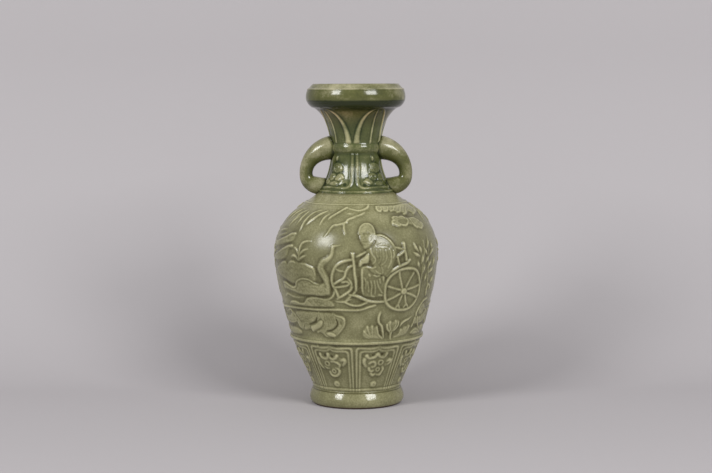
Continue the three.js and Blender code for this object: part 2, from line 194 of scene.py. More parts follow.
foot_outline = np.concatenate([
    [(44, 0)],
    arc((45.4, 1), (46.8, 2.4), (47.8, 5.2), (47.3, 8.6), 16),
    arc((47.3, 8.6), (46.7, 10.6), (45.9, 12.9), (45, 15), 12)[1:],
    [(44.4, FOOT_TOP), (38.6, FOOT_TOP), (38.6, LEDGE), (36, LEDGE)],
    arc((36.4, 1.6), (36.6, 0.6), (37, 0.1), (37.8, 0), 4),
])
foot_ring = turned("foot_ring_glazed", foot_outline, 256)
body_glaze = glaze(
    "celadon_glaze",
    pool_and_shade=(0.055, 0.048, 0.016),
    ground=(0.17, 0.163, 0.079),
    thin=(0.41, 0.39, 0.225),
    rough=0.25,
    speckle=0.4,
)
foot_glaze = body_glaze.copy()
foot_glaze.name = "celadon_glaze_with_burnt_edge"
wiped = (GLAZE_EDGE + 0.5, GLAZE_EDGE - 0.3)
tinted(foot_glaze, height_fade(foot_glaze, *wiped), BURNT_BROWN)
dryness = height_fade(foot_glaze, *wiped, low=0.13, high=0.75)
foot_tree = foot_glaze.node_tree
foot_tree.links.new(dryness, foot_tree.nodes["Principled BSDF"].inputs["Roughness"])
foot_heights = vertex_places(foot_ring)[:, 2]
coated(foot_ring, foot_glaze, 0.52 - 0.54 * smoothstep(14.8, FOOT_TOP, foot_heights))
stand_in(foot_ring, "foot_ring")

# Floor: a thrown disc luted on the foot ring's ledge, dished a little on top and glazed on both
# sides. It shows only from below, in the foot's recess, and deep down through the mouth.
FLOOR_RADIUS = 38.3
FLOOR_THICKNESS = 7
DISHED_STEPS = 4
DISHED_STEP_WIDTH = 8

bpy.ops.object.select_all(action="DESELECT")
bpy.ops.mesh.primitive_cylinder_add(
    vertices=128,
    radius=FLOOR_RADIUS * MM,
    depth=FLOOR_THICKNESS * MM,
    location=(0, 0, (LEDGE + FLOOR_THICKNESS / 2) * MM),
)
base_disc = bpy.context.object
base_disc.name = base_disc.data.name = "base_disc_glazed"
bpy.ops.object.transform_apply(location=True, rotation=False, scale=False)
bpy.ops.object.mode_set(mode="EDIT")
bpy.ops.mesh.select_all(action="DESELECT")
bpy.ops.object.mode_set(mode="OBJECT")
for face in base_disc.data.polygons:
    face.select = face.normal.z > 0.9
bpy.ops.object.mode_set(mode="EDIT")
for step in range(DISHED_STEPS):
    bpy.ops.mesh.inset(thickness=DISHED_STEP_WIDTH * MM, depth=-(0.6 - 0.12 * step) * MM)
bpy.ops.object.mode_set(mode="OBJECT")
bpy.ops.object.shade_smooth_by_angle(angle=radians(40))
coated(base_disc, body_glaze)
stand_in(base_disc, "base_disc")

# Panel band: the lower wall, pressed in a mould of eight panels and luted on the foot. Each divider
# is a sunk line between two double frames, each panel holds a flower, and a raised fillet closes
# the band above.
BAND_TOP = 70.4
BAND_TOP_RADIUS = 66.4
WAIST_RADIUS = 43.9
WALL = 5.5
PANELS = 8
PANEL_PITCH = 360 / PANELS
PANEL_TURN = -2.3
BAND_DEGREE = 1.23


def lengths(line):
    """Distance along a line at each of its points"""
    return np.concatenate([[0], np.cumsum(np.hypot(*np.diff(line, axis=0).T))])


def stretch(start, start_lean, start_hold, end, end_lean, end_hold):
    """Part of the outer wall, which leaves each end at a lean (radius gained per height)"""
    start, end = np.array(start, float), np.array(end, float)
    height = end[1] - start[1]
    leave = np.array((start_lean, 1)) / np.hypot(start_lean, 1) * start_hold * height
    arrive = np.array((end_lean, 1)) / np.hypot(end_lean, 1) * end_hold * height
    return arc(start, start + leave, end - arrive, end, 120)


class Mould:
    """Relief heights in millimetres over a stretch of wall, drawn as a potter cuts a mould"""

    POINT_GAP = 0.9
    LEVELLING = 0.35
    POOLING = 2.05

    def __init__(self, wall, columns, pitch):
        length = lengths(wall)
        self.rows = int(length[-1] / pitch) + 1
        self.along = np.linspace(0, length[-1], self.rows)
        self.pitch = self.along[1]
        self.z = np.interp(self.along, length, wall[:, 1])
        self.r = np.interp(self.along, length, wall[:, 0])
        self.columns = columns
        self.rise = np.zeros((self.rows, columns))
        self.pale = np.zeros((self.rows, columns))
        self.turn, self.side = 0, 1

    def placed(self, points):
        """Points given by azimuth and height, turned to their place and measured along the wall"""
        points = np.array(points, float)
        along = np.interp(points[:, 1], self.z, self.along)
        return np.stack([self.turn + self.side * points[:, 0], along], 1)

    def curve(self, points, closed=False):
        """Points close together on a smooth line through the given ones, with their shares"""
        points = self.placed(points)
        count = len(points)
        if closed:
            ring = np.concatenate([points[-1:], points, points[:2]])
        else:
            first, last = 2 * points[0] - points[1], 2 * points[-1] - points[-2]
            ring = np.concatenate([[first], points, [last]])
            count -= 1
        line, shares = [], []
        for i in range(count):
            a, b, c, d = ring[i : i + 4]
            radius = np.interp(b[1], self.along, self.r)
            gap = np.hypot(radians(c[0] - b[0]) * radius, c[1] - b[1])
            share = np.arange(0, 1, 1 / max(2, int(gap / self.POINT_GAP)))[:, None]
            line.append(0.5 * (2 * b + (c - a) * share + (2 * a - 5 * b + 4 * c - d) * share**2
                               + (3 * b - 3 * c + d - a) * share**3))
            shares.append(i + share[:, 0])
        if not closed:
            line.append(points[-1:])
            shares.append(np.array([count], float))
        return np.concatenate(line), np.concatenate(shares)

    def window(self, line, margin):
        """Rows and columns of the cells within a margin of the line, and the columns' azimuths"""
        radius = np.interp(line[:, 1].mean(), self.along, self.r)
        reach = np.degrees(margin / radius) + 1
        step = 360 / self.columns
        first = int((line[:, 0].min() - reach + 180) / step)
        last = int((line[:, 0].max() + reach + 180) / step) + 1
        columns = np.arange(first, min(last, first + self.columns))
        low = max(0, int((line[:, 1].min() - margin) / self.pitch))
        high = min(self.rows, int((line[:, 1].max() + margin) / self.pitch) + 2)
        rows = np.arange(low, max(high, low + 1))
        return rows, columns, columns * step - 180

    def distances(self, line, rows, azimuths, closed=False):
        """Distance from each cell to the line, and the place on the line that is nearest"""
        ends = np.roll(line, -1, 0) if closed else line[1:]
        starts = line if closed else line[:-1]
        along = self.along[rows][:, None]
        near = np.full((len(rows), len(azimuths)), 1e9)
        place = np.zeros_like(near)
        for i, (start, end) in enumerate(zip(starts, ends)):
            radius = radians(1) * np.interp(start[1], self.along, self.r)
            dx, dy = (end[0] - start[0]) * radius, end[1] - start[1]
            px, py = (azimuths[None] - start[0]) * radius, along - start[1]
            share = np.clip((px * dx + py * dy) / max(dx * dx + dy * dy, 1e-9), 0, 1)
            gap = np.hypot(px - share * dx, py - share * dy)
            closer = gap < near
            near[closer] = gap[closer]
            place[closer] = i + share[closer]
        return near, place

    def across(self, points, width, margin):
        """The cells near a line, how far off each is, the line's half width there and their ratio"""
        line, shares = self.curve(points)
        width = np.atleast_1d(width)
        widths = np.interp(shares / shares[-1], np.linspace(0, 1, len(width)), width)
        rows, columns, azimuths = self.window(line, widths.max() / 2 + margin)
        near, place = self.distances(line, rows, azimuths)
        half = np.interp(place, np.arange(len(line)), widths) / 2
        share = np.clip(near / np.maximum(half, 0.05), 0, 1)
        return np.ix_(rows, columns % self.columns), near, half, share

    def ridge(self, points, width, height=1.0, moat=0.8, pale=0.0):
        """A rounded line of slip. Its width can differ from point to point."""
        cells, near, half, share = self.across(points, width, moat)
        form = height * np.sqrt(half / max(half.max(), 0.05)) * (1 - share**2) ** 1.1
        sunk = self.rise[cells] * smoothstep(0, moat, near - half * 0.7)
        self.rise[cells] = np.maximum(sunk, form)
        if pale:
            self.pale[cells] = np.maximum(self.pale[cells], pale * (1 - share**2))

    def pad(self, points, height=0.8, edge=2.0, floor=0.0, moat=0.8, crown=0.0):
        """A raised form with a soft edge, laid over what is there"""
        line, _ = self.curve(points, closed=True)
        rows, columns, azimuths = self.window(line, moat + 0.5)
        near, _ = self.distances(line, rows, azimuths, closed=True)
        inside = np.zeros(near.shape, bool)
        along = self.along[rows][:, None]
        for start, end in zip(line, np.roll(line, -1, 0)):
            crosses = (start[1] > along) != (end[1] > along)
            slope = (end[0] - start[0]) / (end[1] - start[1] if end[1] != start[1] else 1e-9)
            inside ^= crosses & (azimuths[None] < start[0] + (along - start[1]) * slope)
        depth = np.where(inside, near, -near)
        rounded = np.sqrt(np.clip(1 - (1 - np.clip(depth / edge, 0, 1)) ** 2, 0, 1))
        form = floor + (height - floor) * rounded
        form = form + crown * smoothstep(0, 1, depth / max(depth.max(), 0.1))
        cells = np.ix_(rows, columns % self.columns)
        mask = smoothstep(-0.2, 0.3, depth)
        sunk = self.rise[cells] * smoothstep(0, moat, -depth)
        self.rise[cells] = np.where(depth > -0.2, form * mask + sunk * (1 - mask), sunk)

    def groove(self, points, width=1.2, depth=0.6):
        """A line cut into what is there"""
        cells, near, half, share = self.across(points, width, 0)
        self.rise[cells] -= depth * (1 - share**2)

    def softened(self, field, reach):
        """The field with a soft blur, as far as the glaze levels itself"""
        half = max(1, int(round(reach / self.pitch)))
        kernel = np.exp(-0.5 * (np.arange(-2 * half, 2 * half + 1) / half) ** 2)
        kernel /= kernel.sum()
        padded = np.pad(field, ((2 * half, 2 * half), (0, 0)), mode="edge")
        padded = np.pad(padded, ((0, 0), (2 * half, 2 * half)), mode="wrap")
        down = sum(weight * padded[i : i + len(field)] for i, weight in enumerate(kernel))
        return sum(weight * down[:, i : i + self.columns] for i, weight in enumerate(kernel))

    def finish(self):
        """Level the relief as a glaze does, and find where the glaze is thin and where it pools"""
        self.rise = self.softened(self.rise, self.LEVELLING)
        fine = self.rise - self.softened(self.rise, 1.8)
        broad = self.rise - self.softened(self.rise, 5)
        edge = 0.4 * fine + 0.16 * broad
        edge = np.where(edge > 0, edge, self.POOLING * edge)
        self.thinness = np.clip(0.5 + edge + self.softened(self.pale, 0.4), 0, 1)

    def round_line(self, height, width, rise, paleness=0.6):
        """A raised line that runs right round, paler on its crest and dark along its two sides"""
        reach = (self.along - np.interp(height, self.z, self.along)) / (width / 2)
        crest = np.clip(1 - reach**2, 0, 1)[:, None]
        sides = np.exp(-(((np.abs(reach) - 1.35) / 0.35) ** 2))[:, None]
        self.rise = np.maximum(self.rise * smoothstep(0.9, 1.5, np.abs(reach))[:, None], crest * rise)
        self.thinness += (0.9 - self.thinness) * crest * paleness
        self.thinness -= 0.45 * sides * self.thinness

    def sample(self, field, azimuth, along):
        """The field's value between its cells"""
        column = (azimuth + 180) / 360 * self.columns
        row = np.clip(along / self.pitch, 0, self.rows - 1.001)
        left, low = np.floor(column).astype(int), np.floor(row).astype(int)
        across, up = column - left, row - low
        here, right = left % self.columns, (left + 1) % self.columns
        top = np.minimum(low + 1, self.rows - 1)
        bottom_edge = field[low, here] * (1 - across) + field[low, right] * across
        top_edge = field[top, here] * (1 - across) + field[top, right] * across
        return bottom_edge * (1 - up) + top_edge * up

    def press(self, piece, swell=None):
        """Press the relief into the piece's outer face and give back the glaze's thinness"""
        places = vertex_places(piece)
        radius = np.hypot(places[:, 0], places[:, 1])
        azimuth = np.degrees(np.arctan2(places[:, 0], -places[:, 1]))
        outer = radius > np.interp(places[:, 2], self.z, self.r) - 1
        along = np.interp(places[:, 2], self.z, self.along)
        rise = self.sample(self.rise, azimuth, along)
        if swell is not None:
            rise = rise + swell(places[:, 2])
        lean = np.gradient(self.r, self.along)
        climb = np.gradient(self.z, self.along)
        out = np.interp(along, self.along, climb) * rise * outer
        up = -np.interp(along, self.along, lean) * rise * outer
        turn = np.radians(azimuth)
        places[:, 0] += out * np.sin(turn)
        places[:, 1] -= out * np.cos(turn)
        places[:, 2] += up
        piece.data.vertices.foreach_set("co", (places * MM).ravel())
        piece.data.update()
        return np.where(outer, self.sample(self.thinness, azimuth, along), 0.45)


def section(name, wall, low, high, rows, inner_rows, columns):
    """A section of wall between two seams, spun from its outer face and its inner face"""
    slope = np.gradient(wall, axis=0)
    inward = np.stack([-slope[:, 1], slope[:, 0]], 1) / np.hypot(*slope.T)[:, None] * WALL
    inner = wall + inward
    inner = inner[np.argsort(inner[:, 1])]
    length = lengths(wall)
    ends = np.interp([low, high], wall[:, 1], length)
    at = np.linspace(*ends, rows)
    face = np.stack([np.interp(at, length, wall[:, 0]), np.interp(at, length, wall[:, 1])], 1)
    heights = np.linspace(high, low, inner_rows)
    back = np.stack([np.interp(heights, inner[:, 1], inner[:, 0]), heights], 1)
    return turned(name, np.concatenate([face, back]), columns)


def ring_of(azimuth, height, wide, tall, degree=1.0):
    """Points of an oval, sized in millimetres, each of which spans that many degrees"""
    count = 10
    turns = [2 * pi * i / count for i in range(count)]
    return [(azimuth + wide / 2 * degree * sin(turn), height + tall / 2 * cos(turn)) for turn in turns]


def mirrored(half):
    """A whole outline from its left half, which ends on the middle line"""
    return half + [(-azimuth, height) for azimuth, height in half[-2::-1]]


def panel_frames(mould):
    """A panel's sunk ground, its two frames and the bead at its foot"""
    half = [(-17, 18), (-17, 40), (-17, 55), (-16.4, 58.6), (-13.6, 60), (-8, 59.8), (-3.6, 60.1),
            (-1.5, 61), (0, 62.6)]
    mould.pad([(-16.6, 19.4), (-16.6, 55), (-15, 59.4), (-8, 59.6), (0, 61.8), (8, 59.6), (15, 59.4),
               (16.6, 55), (16.6, 19.4), (0, 19)], -0.4, 1.4)
    mould.ridge(mirrored(half), (2.4, 3, 3.3, 3, 2.4), 0.75, 0.4)
    half = [(-20.4, 18), (-20.4, 40), (-20.3, 58), (-19.9, 62), (-18, 63.4), (-13.5, 63.1), (-8.5, 62.7),
            (-3.8, 63.2), (-1.6, 64), (0, 65.4)]
    mould.ridge(mirrored(half), (2.4, 3, 3.3, 3, 2.4), 0.9, 0.3)
    mould.pad(ring_of(0, 24.8, 6.8, 6.8, BAND_DEGREE), 1.1, 3.4, 0, 0.9)
    mould.pad(ring_of(0.4, 24.6, 1.6, 1.6, BAND_DEGREE), 0.5, 0.8, 0.5, 0.1)


def hoop(mould, azimuth, height, width):
    """A small round petal with a raised edge"""
    points = ring_of(azimuth, height, width, width)
    mould.pad(points, 0.25, 0.8, 0.25, 0.2)
    mould.ridge(points + points[:1], 1.9, 1.2, 0.2)


def wide_flower(mould):
    mould.pad([(-13, 53), (-9, 54), (-3, 55), (6, 54.6), (12, 51), (11, 45), (8, 43.4), (7, 37), (4, 34),
               (-0.4, 32.4), (-4.6, 35), (-6.4, 40), (-12, 42), (-15, 46)], 0.3, 1.8)
    mould.ridge([(-15.6, 51), (-15.6, 48.3), (-14.8, 45.6), (-13, 42.6), (-11.2, 40.8)],
                (5.2, 4.4, 4, 3.6, 2.4), 1.25, 0.2)
    mould.ridge([(-11.4, 56), (-10.9, 53), (-8.9, 51.5), (-5.9, 51.4), (-3.4, 53.4), (-2.9, 56.6)],
                (4.2, 3, 2.8, 2.8, 3.2, 4.4), 1.3, 0.2)
    mould.ridge([(-1.6, 52.6), (0.6, 51.2), (3.8, 52), (5.8, 55)], (2.6, 2.8, 3.2, 4.6), 1.3, 0.2)
    mould.ridge([(9.4, 50), (12.2, 51.2), (13.2, 49.6), (12.2, 46.8), (10.6, 44.8)],
                (3, 5.6, 5, 3.6, 2.2), 1.3, 0.2)
    mould.ridge([(-1.4, 48.8), (2.4, 48.8), (5.8, 47.2), (7.6, 45), (6.6, 43)],
                (2.4, 3, 3.2, 2.8, 2), 1.2, 0.2)
    mould.ridge([(-5, 37.6), (-3.6, 34.6), (-0.2, 33.4), (3.4, 34.6), (6, 38), (5.6, 41), (2.8, 42)],
                (3.4, 3.8, 3.8, 3.8, 3.6, 3, 2.2), 1.3, 0.2)
    hoop(mould, -5.9, 46.4, 4.6)
    hoop(mould, 0.1, 38.6, 3.8)
    mould.ridge([(-9.4, 43), (-7, 41.4), (-4.6, 41.8)], (2.8, 3.2, 2), 1.1, 0.2)


def tall_flower(mould):
    mould.pad([(-11, 54), (-7, 54), (-0.4, 57), (7, 56), (12, 51), (13, 45), (8, 41), (6.6, 36), (2, 34),
               (-3, 33.6), (-6, 36), (-8, 41), (-12, 45)], 0.3, 1.8)
    mould.ridge([(-12.7, 51.8), (-13.2, 49.4), (-12.4, 46.6), (-11, 44)], (5, 4.6, 3.8, 2.4), 1.25, 0.2)
    mould.ridge([(-10.8, 55.4), (-8.6, 52.9), (-5.7, 52.8), (-2.4, 54), (-0.4, 57), (2.1, 53.9),
                 (5.6, 52.9), (7.9, 54.4), (8.5, 57)],
                (4.8, 3, 2.8, 3.2, 4.8, 3.2, 2.8, 3, 4.6), 1.3, 0.2)
    mould.ridge([(10.8, 48.8), (13, 50), (14.8, 49.2), (14, 46.8), (12.6, 45)],
                (3, 5.2, 5, 3.6, 2.2), 1.3, 0.2)
    mould.ridge([(-7.6, 47.2), (-5.2, 48.8), (-2.6, 48.6), (-1.2, 46.4), (-2, 43.8), (-4.6, 43.2)],
                (2.6, 3, 3.2, 3.2, 2.8, 2.2), 1.2, 0.2)
    mould.ridge([(-7.8, 42.4), (-6.8, 39.8), (-4.6, 38.8), (-2.4, 40)], (3.2, 3.6, 3.4, 2.2), 1.2, 0.2)
    mould.ridge([(-5, 36.4), (-2.7, 34.6), (-0.7, 35.8)], (3.4, 4.2, 3), 1.25, 0.2)
    mould.ridge([(6.4, 43.2), (8, 40.8), (6.8, 37.6), (5.2, 34.8), (2.1, 34.8)],
                (2.6, 3.8, 3.6, 3.8, 2.6), 1.25, 0.2)
    hoop(mould, 4, 47.8, 4.8)
    hoop(mould, 2, 40.6, 3.8)


def pits(mould, places, width, degree=1.0):
    """Round hollows that are pressed between the petals"""
    for azimuth, height in places:
        mould.pad(ring_of(azimuth, height, width, width, degree), -0.8, width / 2.5, 0, 0.1)


band_wall = stretch((WAIST_RADIUS, FOOT_TOP), 0.3, 0.25, (BAND_TOP_RADIUS, BAND_TOP), 0.3, 0.32)
band_mould = Mould(band_wall, columns=1000, pitch=0.45)
for panel in range(PANELS):
    band_mould.turn = PANEL_TURN + (panel + 0.5) * PANEL_PITCH
    band_mould.groove([(-PANEL_PITCH / 2, height) for height in (18, 40, 65)], 1.9, 0.6)
    panel_frames(band_mould)
    if panel % 2:
        wide_flower(band_mould)
        pits(band_mould, [(-6.4, 55.2), (0.8, 54.4)], 2.6)
    else:
        tall_flower(band_mould)
        pits(band_mould, [(-4.7, 56.4), (3.9, 56.6)], 2.6)
# A crumb of clay sits on the last panel's frame.
band_mould.pad(ring_of(-11.7, 64.6, 2.6, 2.86, 0.95), 1.2, 1.3, 0.5, 0.3)
band_mould.rise = band_mould.softened(band_mould.rise, 0.45)
band_mould.finish()
band_mould.round_line(18.9, 3.4, 0.6, 0.3)
band_mould.round_line(68.6, 5, 1.2, 0.45)
band_mould.thinness += 0.09


def band_swell(height):
    """The band's ground lies lower than its two edges, and its foot rolls out over the foot ring"""
    foot_roll = 0.4 * smoothstep(FOOT_TOP + 0.9, FOOT_TOP, height)
    return foot_roll - 0.9 * smoothstep(FOOT_TOP, FOOT_TOP + 1, height) * smoothstep(68, 66.6, height)


panel_band = section(
    "panel_band_moulded", band_wall, FOOT_TOP, BAND_TOP, rows=112, inner_rows=12, columns=760
)
coated(panel_band, body_glaze, band_mould.press(panel_band, band_swell))
stand_in(panel_band, "panel_band")

# Belly: the widest section, pressed in a mould cut with a garden scene: a seated figure in a
# two-wheeled cart, cranes, hills, bamboo and a lotus pond. The lines of slip stand up and are pale.
# The wall and the mould run on over the shoulder, which is a section of its own.
GIRTH = 153
GIRTH_RADIUS = 82.7
NECK_BASE = 212.5
SHOULDER_LINE = 202.7
SHOULDER_LINE_RADIUS = 50.2
NECK_BASE_RADIUS = 38.1
RELIEF_SINK = 1.2

belly_wall = stretch((BAND_TOP_RADIUS, BAND_TOP), 0.27, 0.33, (GIRTH_RADIUS, GIRTH), 0, 0.33)
shoulder_line = (SHOULDER_LINE_RADIUS, SHOULDER_LINE)
shoulder_wall = stretch((GIRTH_RADIUS, GIRTH), 0, 0.24, shoulder_line, -2.2, 0.6)
collar_wall = stretch(shoulder_line, -1.7, 0.31, (NECK_BASE_RADIUS, NECK_BASE), -0.75, 0.51)
upper_wall = np.concatenate([shoulder_wall, collar_wall[1:]])
body_wall = np.concatenate([belly_wall, upper_wall[1:]])
body_mould = Mould(body_wall, columns=1000, pitch=0.5)


def body_swell(height):
    """The scene's ground lies lower than the plain wall, so that the relief comes up to it"""
    low, high = smoothstep(BAND_TOP - 1, BAND_TOP + 2.5, height), smoothstep(202, 199.5, height)
    return -RELIEF_SINK * low * high


def strokes(mould, lines, width=2.0, height=1.0):
    """Lines of slip that are alike in width and height"""
    for line in lines:
        mould.ridge(line, width, height)


def nicks(mould, places, shape, width, depth):
    """The same short groove at each place, for leaves and feathers"""
    for azimuth, height in places:
        mould.groove([(azimuth + aside, height + up) for aside, up in shape], width, depth)


def blades(mould):
    mould.ridge([(-9, 200.7), (-12, 199.7), (-17, 196.3), (-22, 192.5), (-23.7, 190.3)],
                (2, 2.8, 3.2, 2.6, 1), 1.2)
    mould.ridge([(-24.3, 195.3), (-27, 193), (-28.5, 190), (-29.7, 184.8)], (1, 2.2, 2.4, 0.8), 1.1)
    mould.ridge([(-28, 198), (-33, 195), (-37, 191.3), (-40.5, 187.8), (-42.8, 184)],
                (1.4, 3.6, 3.4, 3, 1), 1.25)
    mould.ridge([(-36, 198.6), (-41, 196.4), (-45, 192), (-48, 186)], (1, 2.2, 2.4, 0.8), 1.1)
    mould.ridge([(-43.5, 196), (-45.5, 189), (-46.5, 183), (-46.9, 177.3)], (1.2, 2.6, 2.6, 1), 1.15)
    mould.ridge([(-50, 196.5), (-52, 190), (-53.7, 183.5)], (1.4, 3, 1), 1.15)
    mould.ridge([(-54, 198), (-59, 193.5), (-62, 187)], (1.2, 3, 1), 1.1)
    mould.ridge([(-57, 192), (-61, 187.4), (-64, 181.6)], (1, 2.6, 0.8), 1.1)
    mould.ridge([(-62, 199), (-67, 194.5), (-71, 188.5)], (1.2, 3, 1), 1.1)
    mould.ridge([(-70, 198), (-75, 193), (-79, 186)], (1.2, 3, 1), 1.1)


def branch(mould):
    mould.ridge([(2, 194.2), (-2, 192.4), (-6.5, 190.6), (-8.2, 187.8), (-14, 185.6), (-17.8, 184.8),
                 (-19.8, 181.5), (-21.2, 178), (-23.8, 173.6)],
                (1.4, 2, 2.2, 2.6, 2, 2.2, 2, 1.8, 0.8), 1.2)
    mould.ridge([(-9.7, 186.4), (-9.2, 182), (-8.2, 178.5), (-8.1, 175.8)], (1.6, 1.8, 1.6, 0.6), 1.1)
    mould.ridge([(14, 203), (12, 200.8), (8, 199.4), (3, 198.6), (-3, 199.3), (-7.5, 200.3)],
                (1.4, 2.8, 2.4, 2, 2, 1), 1.0)
    mould.ridge([(8.2, 197), (5, 195.2), (1, 193.8), (-2.5, 193.5)], (1, 2.6, 2, 1), 1.0)
    mould.ridge([(-7, 196), (-6, 195.9), (-5, 195.8)], (1.8, 2.2, 1.6), 0.9)


def clouds(mould):
    mould.pad([(21, 198.2), (23, 197), (25.3, 198.4), (28, 197.1), (32, 198), (36, 196.9), (40, 196.4),
               (42.5, 195), (46, 195.4), (48.8, 193.5), (53, 194.4), (57, 195.6), (62.5, 193), (70, 194),
               (76, 196), (76, 201), (60, 202), (45, 201.3), (30, 201.5), (22, 201.5)], 0.75, 1.8)
    strokes(mould, [[(21.4, 201), (21, 198.6), (23, 197.4), (25.5, 198.8), (26, 200.5)],
                    [(27.5, 197.6), (30.5, 197.6), (33, 199.2), (34.5, 200.6)],
                    [(34.5, 197.3), (38, 197.8), (41, 199.6), (44, 200.6)],
                    [(40.5, 195.8), (44.5, 196.2), (48, 198.4), (53, 200.4)],
                    [(47, 193.8), (51, 194.6), (55, 197.6), (62, 199.6)],
                    [(60, 193.2), (64, 193.8), (68, 195.6), (73, 196.6)]], 2.3, 1.25)
    mould.pad([(29, 186.2), (30.5, 189.5), (33, 192.4), (37, 192.9), (40, 192.2), (43, 192.8),
               (46, 190.8), (50, 190.2), (55, 190.4), (60, 187.4), (64.5, 184.5), (64, 181), (60, 179.6),
               (56.5, 179.2), (53, 180), (50.5, 182.6), (45.5, 184), (41.5, 182.8), (38, 183),
               (35, 182.6), (32.5, 184.6)], 0.75, 1.8)
    mould.pad([(36, 187.6), (39, 188.6), (43, 188.6), (45.3, 187), (43, 185.4), (39, 185.4)],
              0.4, 1.5, 0.7)
    strokes(mould, [[(33.5, 188.8), (30.6, 188.2), (29.8, 186), (32.2, 185), (35, 183.4), (37.4, 184.6)],
                    [(32, 191), (34.5, 192), (38, 190.8), (40, 191.6), (42.6, 191.6), (44.6, 190)],
                    [(38.5, 184), (41.5, 183.4), (44.4, 185), (46.4, 187.6), (46, 190)],
                    [(50, 189.4), (49.8, 186), (51.2, 182.6), (53.2, 180.6), (55.4, 182)],
                    [(55.4, 180.4), (58.5, 179.4), (60.6, 181.4), (60, 184.6)],
                    [(51.6, 189.6), (56, 189.2), (60.6, 186.2)]], 2.3, 1.25)


def hills(mould):
    mould.pad([(-50, 176.2), (-56, 175.3), (-62, 171.4), (-72, 167.4), (-80, 165), (-80, 160),
               (-62, 164.5), (-51, 168.5)], 0.6, 2)
    mould.pad([(-51, 164.4), (-56, 163), (-62, 160), (-70, 155.5), (-80, 151), (-80, 146), (-62, 149),
               (-56, 153), (-54.3, 159)], 0.6, 2)
    mould.ridge([(-50.2, 175.3), (-55, 174.2), (-59.5, 171.4), (-66, 168.6), (-73, 166)],
                (3.4, 3.6, 3, 2.8, 2), 1.2)
    mould.ridge([(-50.8, 163.4), (-55.5, 162.2), (-61, 159.4), (-67, 156), (-76, 151.8)],
                (3.6, 3.6, 3, 2.6, 2), 1.2)
    mould.ridge([(-60, 154), (-65, 151.6), (-73, 147.5)], (1.6, 2.4, 1.6), 0.9)
    mould.ridge([(-64, 178.4), (-69, 178), (-76, 176.4)], (1.2, 2.4, 1.6), 0.9)
    mould.ridge([(-62, 174.6), (-68, 173.2), (-75, 171)], (1.2, 2, 1.4), 0.8)
    mould.ridge([(-52, 171.8), (-54, 170.6), (-57, 169.6)], (2.4, 2.2, 1), 0.9)


def orchid(mould):
    mould.ridge([(-33.6, 169.4), (-37, 168.9), (-40.5, 167.2), (-42.4, 163.4), (-43, 158), (-43.4, 150)],
                (0.8, 2.2, 2.4, 2, 1.6, 1.4), 1.2)
    mould.ridge([(-49, 162.2), (-46.6, 161.4), (-44.9, 158.6), (-43.8, 155.5)], (0.8, 2, 1.8, 1), 1.1)
    mould.ridge([(-35.4, 161.6), (-38.5, 160.2), (-41, 157.6), (-42.7, 154.5)], (0.8, 2.2, 2, 1), 1.1)
    mould.ridge([(-50.8, 152.8), (-48, 154.2), (-45.6, 152.6), (-43.8, 149.5)], (1, 3.4, 2.2, 1.2), 1.1)
    mould.ridge([(-36.3, 155.6), (-39, 153.8), (-41.8, 151.6), (-43.3, 149.3)], (0.8, 2.6, 2.2, 1.2), 1.1)


def bush(mould):
    mould.pad([(-68, 143.5), (-61, 146.8), (-58, 147.4), (-56, 145.2), (-53, 147.6), (-49, 149),
               (-44, 147.8), (-38, 147.4), (-34.5, 145.3), (-31, 143.7), (-29.2, 140), (-28.8, 135),
               (-30, 130), (-38, 128), (-50, 126), (-60, 129), (-70, 132), (-76, 138)],
              0.55, 2.6, crown=0.2)
    mould.ridge([(-43, 146.6), (-38, 146.4), (-34.5, 144.5), (-31, 142.8), (-29.9, 139), (-29.6, 134.5)],
                (1.4, 2.6, 3, 2.8, 2.4, 1.4), 1.1)
    mould.ridge([(-66, 143.6), (-61.5, 145.8), (-58, 146.2), (-56.6, 144.5)], (1.4, 2.6, 2.6, 1.2), 1.05)
    mould.ridge([(-54.5, 145.5), (-51.5, 147.6), (-48, 147.6), (-45.5, 145.5)],
                (1.4, 2.6, 2.6, 1.2), 1.05)
    leaves = [(-66, 139), (-61, 140.5), (-56, 139), (-51, 141), (-46, 140), (-41, 141), (-36, 139),
              (-64, 134.5), (-58, 134.5), (-52, 135.5), (-46, 135), (-40, 135.5), (-34, 134)]
    nicks(mould, leaves, [(-1.8, -1), (0, 0.9), (1.9, -0.6)], 1.3, 0.28)


